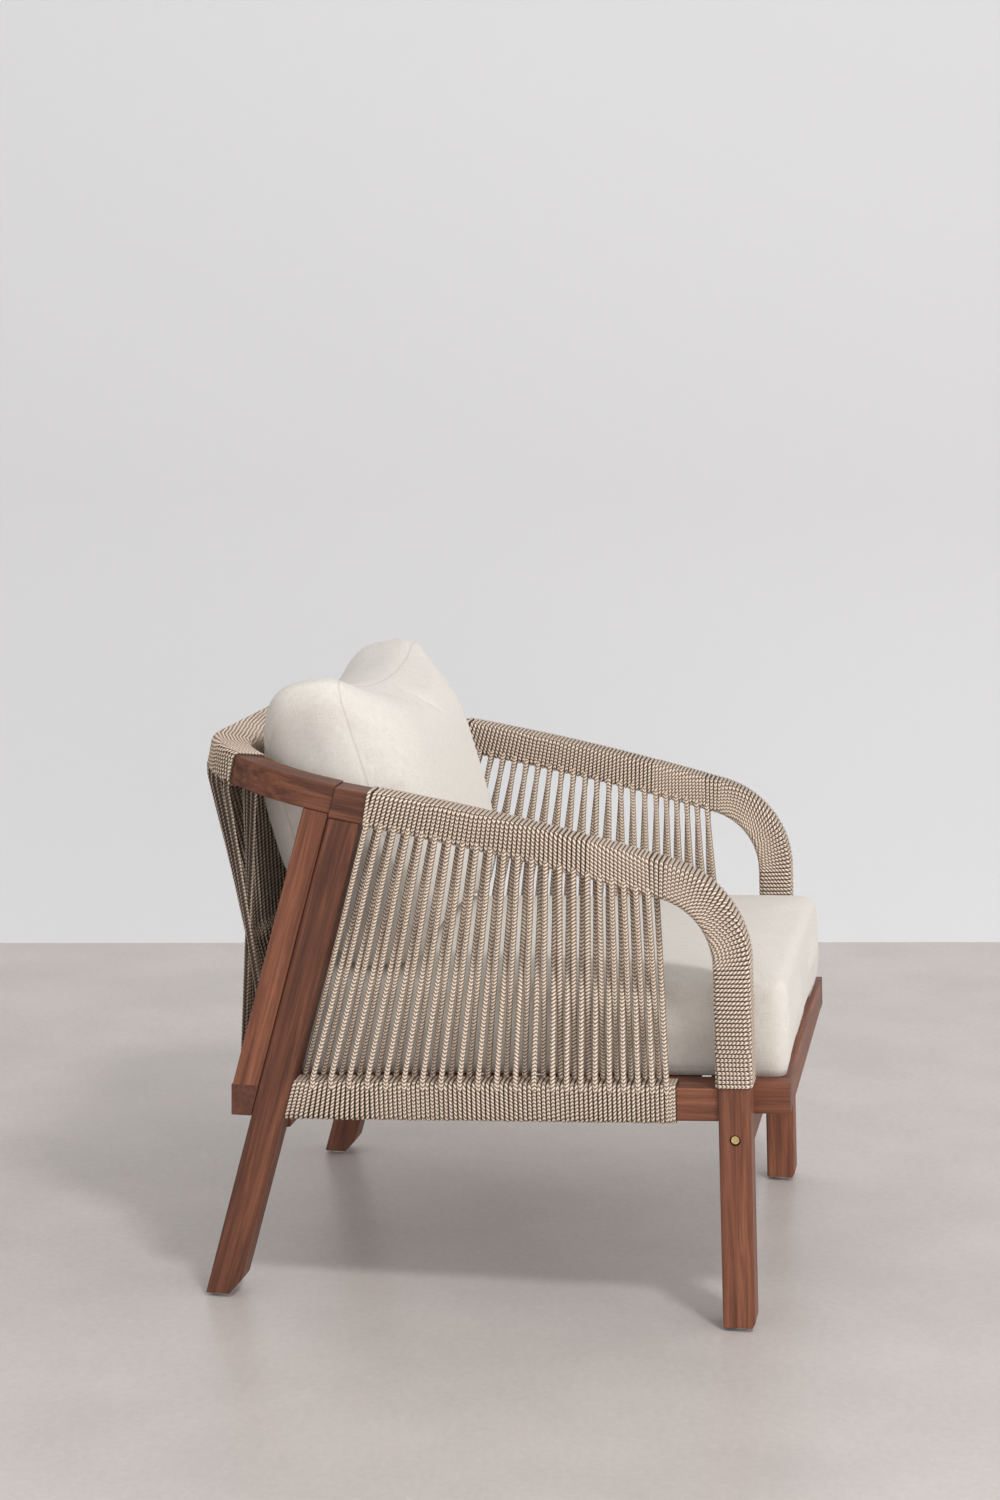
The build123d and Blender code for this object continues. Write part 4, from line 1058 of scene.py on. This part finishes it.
def inflate(piece, pad):
    # cloth under pressure, with each point's movement capped
    start = [vertex.co.copy() for vertex in piece.data.vertices]
    modifier = piece.modifiers.new("filling", "CLOTH")
    settings = modifier.settings
    settings.quality = 5
    settings.mass = 0.3
    settings.tension_stiffness = 30
    settings.compression_stiffness = 30
    settings.shear_stiffness = 12
    settings.bending_stiffness = 1.5
    settings.use_pressure = True
    settings.uniform_pressure_force = pad["pressure"]
    settings.effector_weights.gravity = 0
    modifier.collision_settings.use_collision = False
    modifier.point_cache.frame_start = 1
    modifier.point_cache.frame_end = fillFrames
    for step in range(1, fillFrames + 1):
        scene.frame_set(step)
    drawn = piece.evaluated_get(bpy.context.evaluated_depsgraph_get())
    moved = [vertex.co.copy() for vertex in drawn.data.vertices]
    piece.modifiers.remove(modifier)
    scene.frame_set(1)
    for vertex, old, new in zip(piece.data.vertices, start, moved):
        shift = new - old
        if shift.length > pad["cap"]:
            shift *= pad["cap"] / shift.length
        vertex.co = old + shift


def sewSeams(piece, pad, places):
    # the seam lines sit a little deep, and the cloth beside them gathers
    mesh = piece.data
    normals = [vertex.normal.copy() for vertex in mesh.vertices]
    seamGap = mesh.attributes.new("seamGap", "FLOAT", "POINT")
    for vertex, normal, (a, b, c) in zip(mesh.vertices, normals, places):
        sideGap = min((1 - abs(a)) * pad["width"] / 2, (1 - abs(b)) * pad["height"] / 2)
        gap = max(sideGap, (1 - abs(c)) * pad["edge"] / 2)
        # the distance to the nearest seam, which the cloth finish turns into painted shade
        seamGap.data[vertex.index].value = gap if pad["seam"] else 1.0
        if gap < 1e-6:
            vertex.co -= normal * pad["seam"]
        fade = max(0, 1 - gap / gatherReach)
        spot = Vector((a, b, c))
        ripple = sum(share * noise.noise(spot * Vector(often)) for share, often in gathers)
        vertex.co += normal * (pad["pucker"] * fade * ripple)
        soft = noise.noise(Vector((a * 2.3 + 4, b * 1.9, c * 1.5)))
        vertex.co += normal * (2.2 * pad["pucker"] * soft)


def settle(mesh, pad, rest):
    # the under side lies flat on the rails and sinks to the slats inside them
    for vertex in mesh.vertices:
        inside = min(pad["width"] / 2 - abs(vertex.co.x), pad["height"] / 2 - abs(vertex.co.y))
        if vertex.co.z < rest["level"] + rest["flattened"]:
            share = min(1, max(0, (inside - rest["railWidth"]) / rest["dipReach"]))
            vertex.co.z = rest["level"] - rest["dip"] * share


def makePad(name, pad, place, node, rest=None):
    # the cushion's body and its node share one name
    places, quads, sewn = padLattice(pad)
    mesh = bpy.data.meshes.new(name)
    mesh.from_pydata([padShape(pad, spot) for spot in places], [], quads)
    piece = bpy.data.objects.new(name, mesh)
    scene.collection.objects.link(piece)
    layer = mesh.uv_layers.new(name="clothMap")
    for face in mesh.polygons:
        for loop in face.loop_indices:
            layer.data[loop].uv = flatMap(pad, places[mesh.loops[loop].vertex_index], face.normal)
    inflate(piece, pad)
    mesh.update()
    sewSeams(piece, pad, places)
    crease = mesh.attributes.new("crease_edge", "FLOAT", "EDGE")
    for edge in mesh.edges:
        first, second = edge.vertices
        if (first, second) in sewn or (second, first) in sewn:
            crease.data[edge.index].value = pad["crease"]
    finer = piece.modifiers.new("finer", "SUBSURF")
    finer.levels = finer.render_levels = 1
    smooth = bpy.data.meshes.new_from_object(piece.evaluated_get(bpy.context.evaluated_depsgraph_get()))
    piece.modifiers.remove(finer)
    piece.data = smooth
    smooth.name = name
    if rest:
        settle(smooth, pad, rest)
    smooth.transform(place)
    smooth.shade_smooth()
    smooth.materials.append(finishes["cloth"])
    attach(piece, node)
    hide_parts(node)
    print("cushion", name, len(smooth.polygons), "faces")


def padPlace(origin, upright, outward):
    across = Vector((1, 0, 0))
    turn = Matrix((across, Vector(upright), Vector(outward))).transposed().to_4x4()
    return Matrix.Translation(origin) @ turn


seatLie = {"setback": 0.3200, "rise": 0.0622}
seatRest = {"level": -0.0618, "flattened": 0.008, "railWidth": 0.036, "dipReach": 0.012, "dip": 0.0026}
backLie = {"lean": 17.5, "setback": 0.5311, "base": 0.4076, "middle": 0.2015}
backTurn = radians(backLie["lean"])
backUp = Vector((0, sin(backTurn), cos(backTurn)))
backMiddle = Vector((0, frontY + backLie["setback"], backLie["base"])) + backUp * backLie["middle"]
seatPlace = padPlace(deckPoint(0, seatLie["setback"], seatLie["rise"]), deckBack, deckUp)
backPlace = padPlace(backMiddle, backUp, (0, -backUp.z, backUp.y))
makePad("seatCushion", seatPad, seatPlace, "seat_cushion", seatRest)
makePad("backCushion", backPad, backPlace, "back_cushion")


# Studio

studio = {
    "floor": colour(202, 194, 188),
    "wall": colour(210, 210, 211),
    # the colour low on the wall is lighter: painted light where shade falls near the floor
    "paintedLightAtFoot": colour(226, 227, 228),
    "air": colour(236, 236, 238),
    "wallSpots": ((1.670, 1.3235), (2.140, -0.6415)),
    "wallHeight": 6,
    "paintedLightReach": 0.9,
    "span": 14,
    "horizon": 2.15,
    "zenith": 0.5,
    "behind": 0.6,
}
# name, place, aim, size and power
lamps = (
    ("keyLight", (-2.3, -1.5, 3.7), (0, 0, 0.4), 0.5, 62),
    ("frontFill", (-1.4, -4.3, 0.9), (0, 0, 0.2), 2.4, 24),
    ("sideFill", (-4.8, -1.8, 0.8), (0, 0, 0.2), 2.4, 18),
)


def floorFinish():
    material, tree, shader = newMaterial("studioFloor", Roughness=0.34, Specular_IOR_Level=0.35)
    spot = tree.nodes.new("ShaderNodeTexCoord").outputs["Object"]
    cloud = noiseNode(tree, spot, 3.0, 6.0, Roughness=0.6)
    speckle = noiseNode(tree, spot, 95.0, 4.0, Roughness=0.7)
    mixed = mathNode(tree, "MULTIPLY_ADD", mathNode(tree, "SUBTRACT", speckle, 0.5), 0.7, cloud)
    darker, lighter = ((*(share * part for part in studio["floor"][:3]), 1) for share in (0.92, 1.06))
    tree.links.new(ramp(tree, mixed, ((0.33, darker), (0.67, lighter))), shader.inputs["Base Color"])
    return material


def wallFinish():
    # seen from behind, the wall lets the view through
    material, tree, shader = newMaterial("studioWall", Roughness=0.9, Specular_IOR_Level=0.1)
    spot = tree.nodes.new("ShaderNodeTexCoord").outputs["Object"]
    height = addNode(tree, "ShaderNodeSeparateXYZ", Vector=spot).outputs[2]
    # painted light: the wall's colour is lighter towards the floor, which lifts the shade that falls near it
    tone = ramp(tree, height, ((0.0, studio["paintedLightAtFoot"]), (studio["paintedLightReach"], studio["wall"])))
    tree.links.new(tone, shader.inputs["Base Color"])
    clear = tree.nodes.new("ShaderNodeBsdfTransparent")
    facing = tree.nodes.new("ShaderNodeNewGeometry").outputs["Backfacing"]
    both = tree.nodes.new("ShaderNodeMixShader")
    tree.links.new(facing, both.inputs[0])
    tree.links.new(shader.outputs[0], both.inputs[1])
    tree.links.new(clear.outputs[0], both.inputs[2])
    tree.links.new(both.outputs[0], tree.nodes["Material Output"].inputs["Surface"])
    return material


def stageSheet(name, corners, material):
    mesh = bpy.data.meshes.new(name)
    mesh.from_pydata(corners, [], [(0, 1, 2, 3)])
    mesh.materials.append(material)
    sheet = bpy.data.objects.new(name, mesh)
    scene.collection.objects.link(sheet)


def areaLight(name, place, target, size, energy):
    data = bpy.data.lights.new(name, "AREA")
    data.size = size
    data.energy = energy
    lamp = bpy.data.objects.new(name, data)
    aim = Vector(target) - Vector(place)
    lamp.matrix_world = Matrix.Translation(place) @ aim.to_track_quat("-Z", "Y").to_matrix().to_4x4()
    scene.collection.objects.link(lamp)


def makeStudio():
    span = studio["span"]
    corners = [(-span, -span, 0), (span, -span, 0), (span, span, 0), (-span, span, 0)]
    stageSheet("studioFloor", corners, floorFinish())
    first, second = (Vector((*spot, 0)) for spot in studio["wallSpots"])
    run = (second - first).normalized() * span
    top = Vector((0, 0, studio["wallHeight"]))
    middle = (first + second) / 2
    corners = [middle - run, middle + run, middle + run + top, middle - run + top]
    stageSheet("studioWall", corners, wallFinish())
    world = bpy.data.worlds.new("studioWorld")
    world.use_nodes = True
    # brighter towards the horizon, as in a room lit by large low panels, and dimmer behind the chair
    tree = world.node_tree
    shade = tree.nodes["Background"]
    shade.inputs[0].default_value = studio["air"]
    heading = tree.nodes.new("ShaderNodeTexCoord").outputs["Generated"]
    looking = addNode(tree, "ShaderNodeSeparateXYZ", Vector=heading)
    height = mathNode(tree, "MINIMUM", mathNode(tree, "ABSOLUTE", looking.outputs[2]), 1.0)
    fall = studio["zenith"] - studio["horizon"]
    strength = mathNode(tree, "MULTIPLY_ADD", height, fall, studio["horizon"])
    rear = mathNode(tree, "MAXIMUM", looking.outputs[1], 0.0)
    dimmed = mathNode(tree, "MULTIPLY_ADD", rear, -studio["behind"], 1.0)
    tree.links.new(mathNode(tree, "MULTIPLY", strength, dimmed), shade.inputs[1])
    scene.world = world
    for lamp in lamps:
        areaLight(*lamp)


makeStudio()
print("studio set")
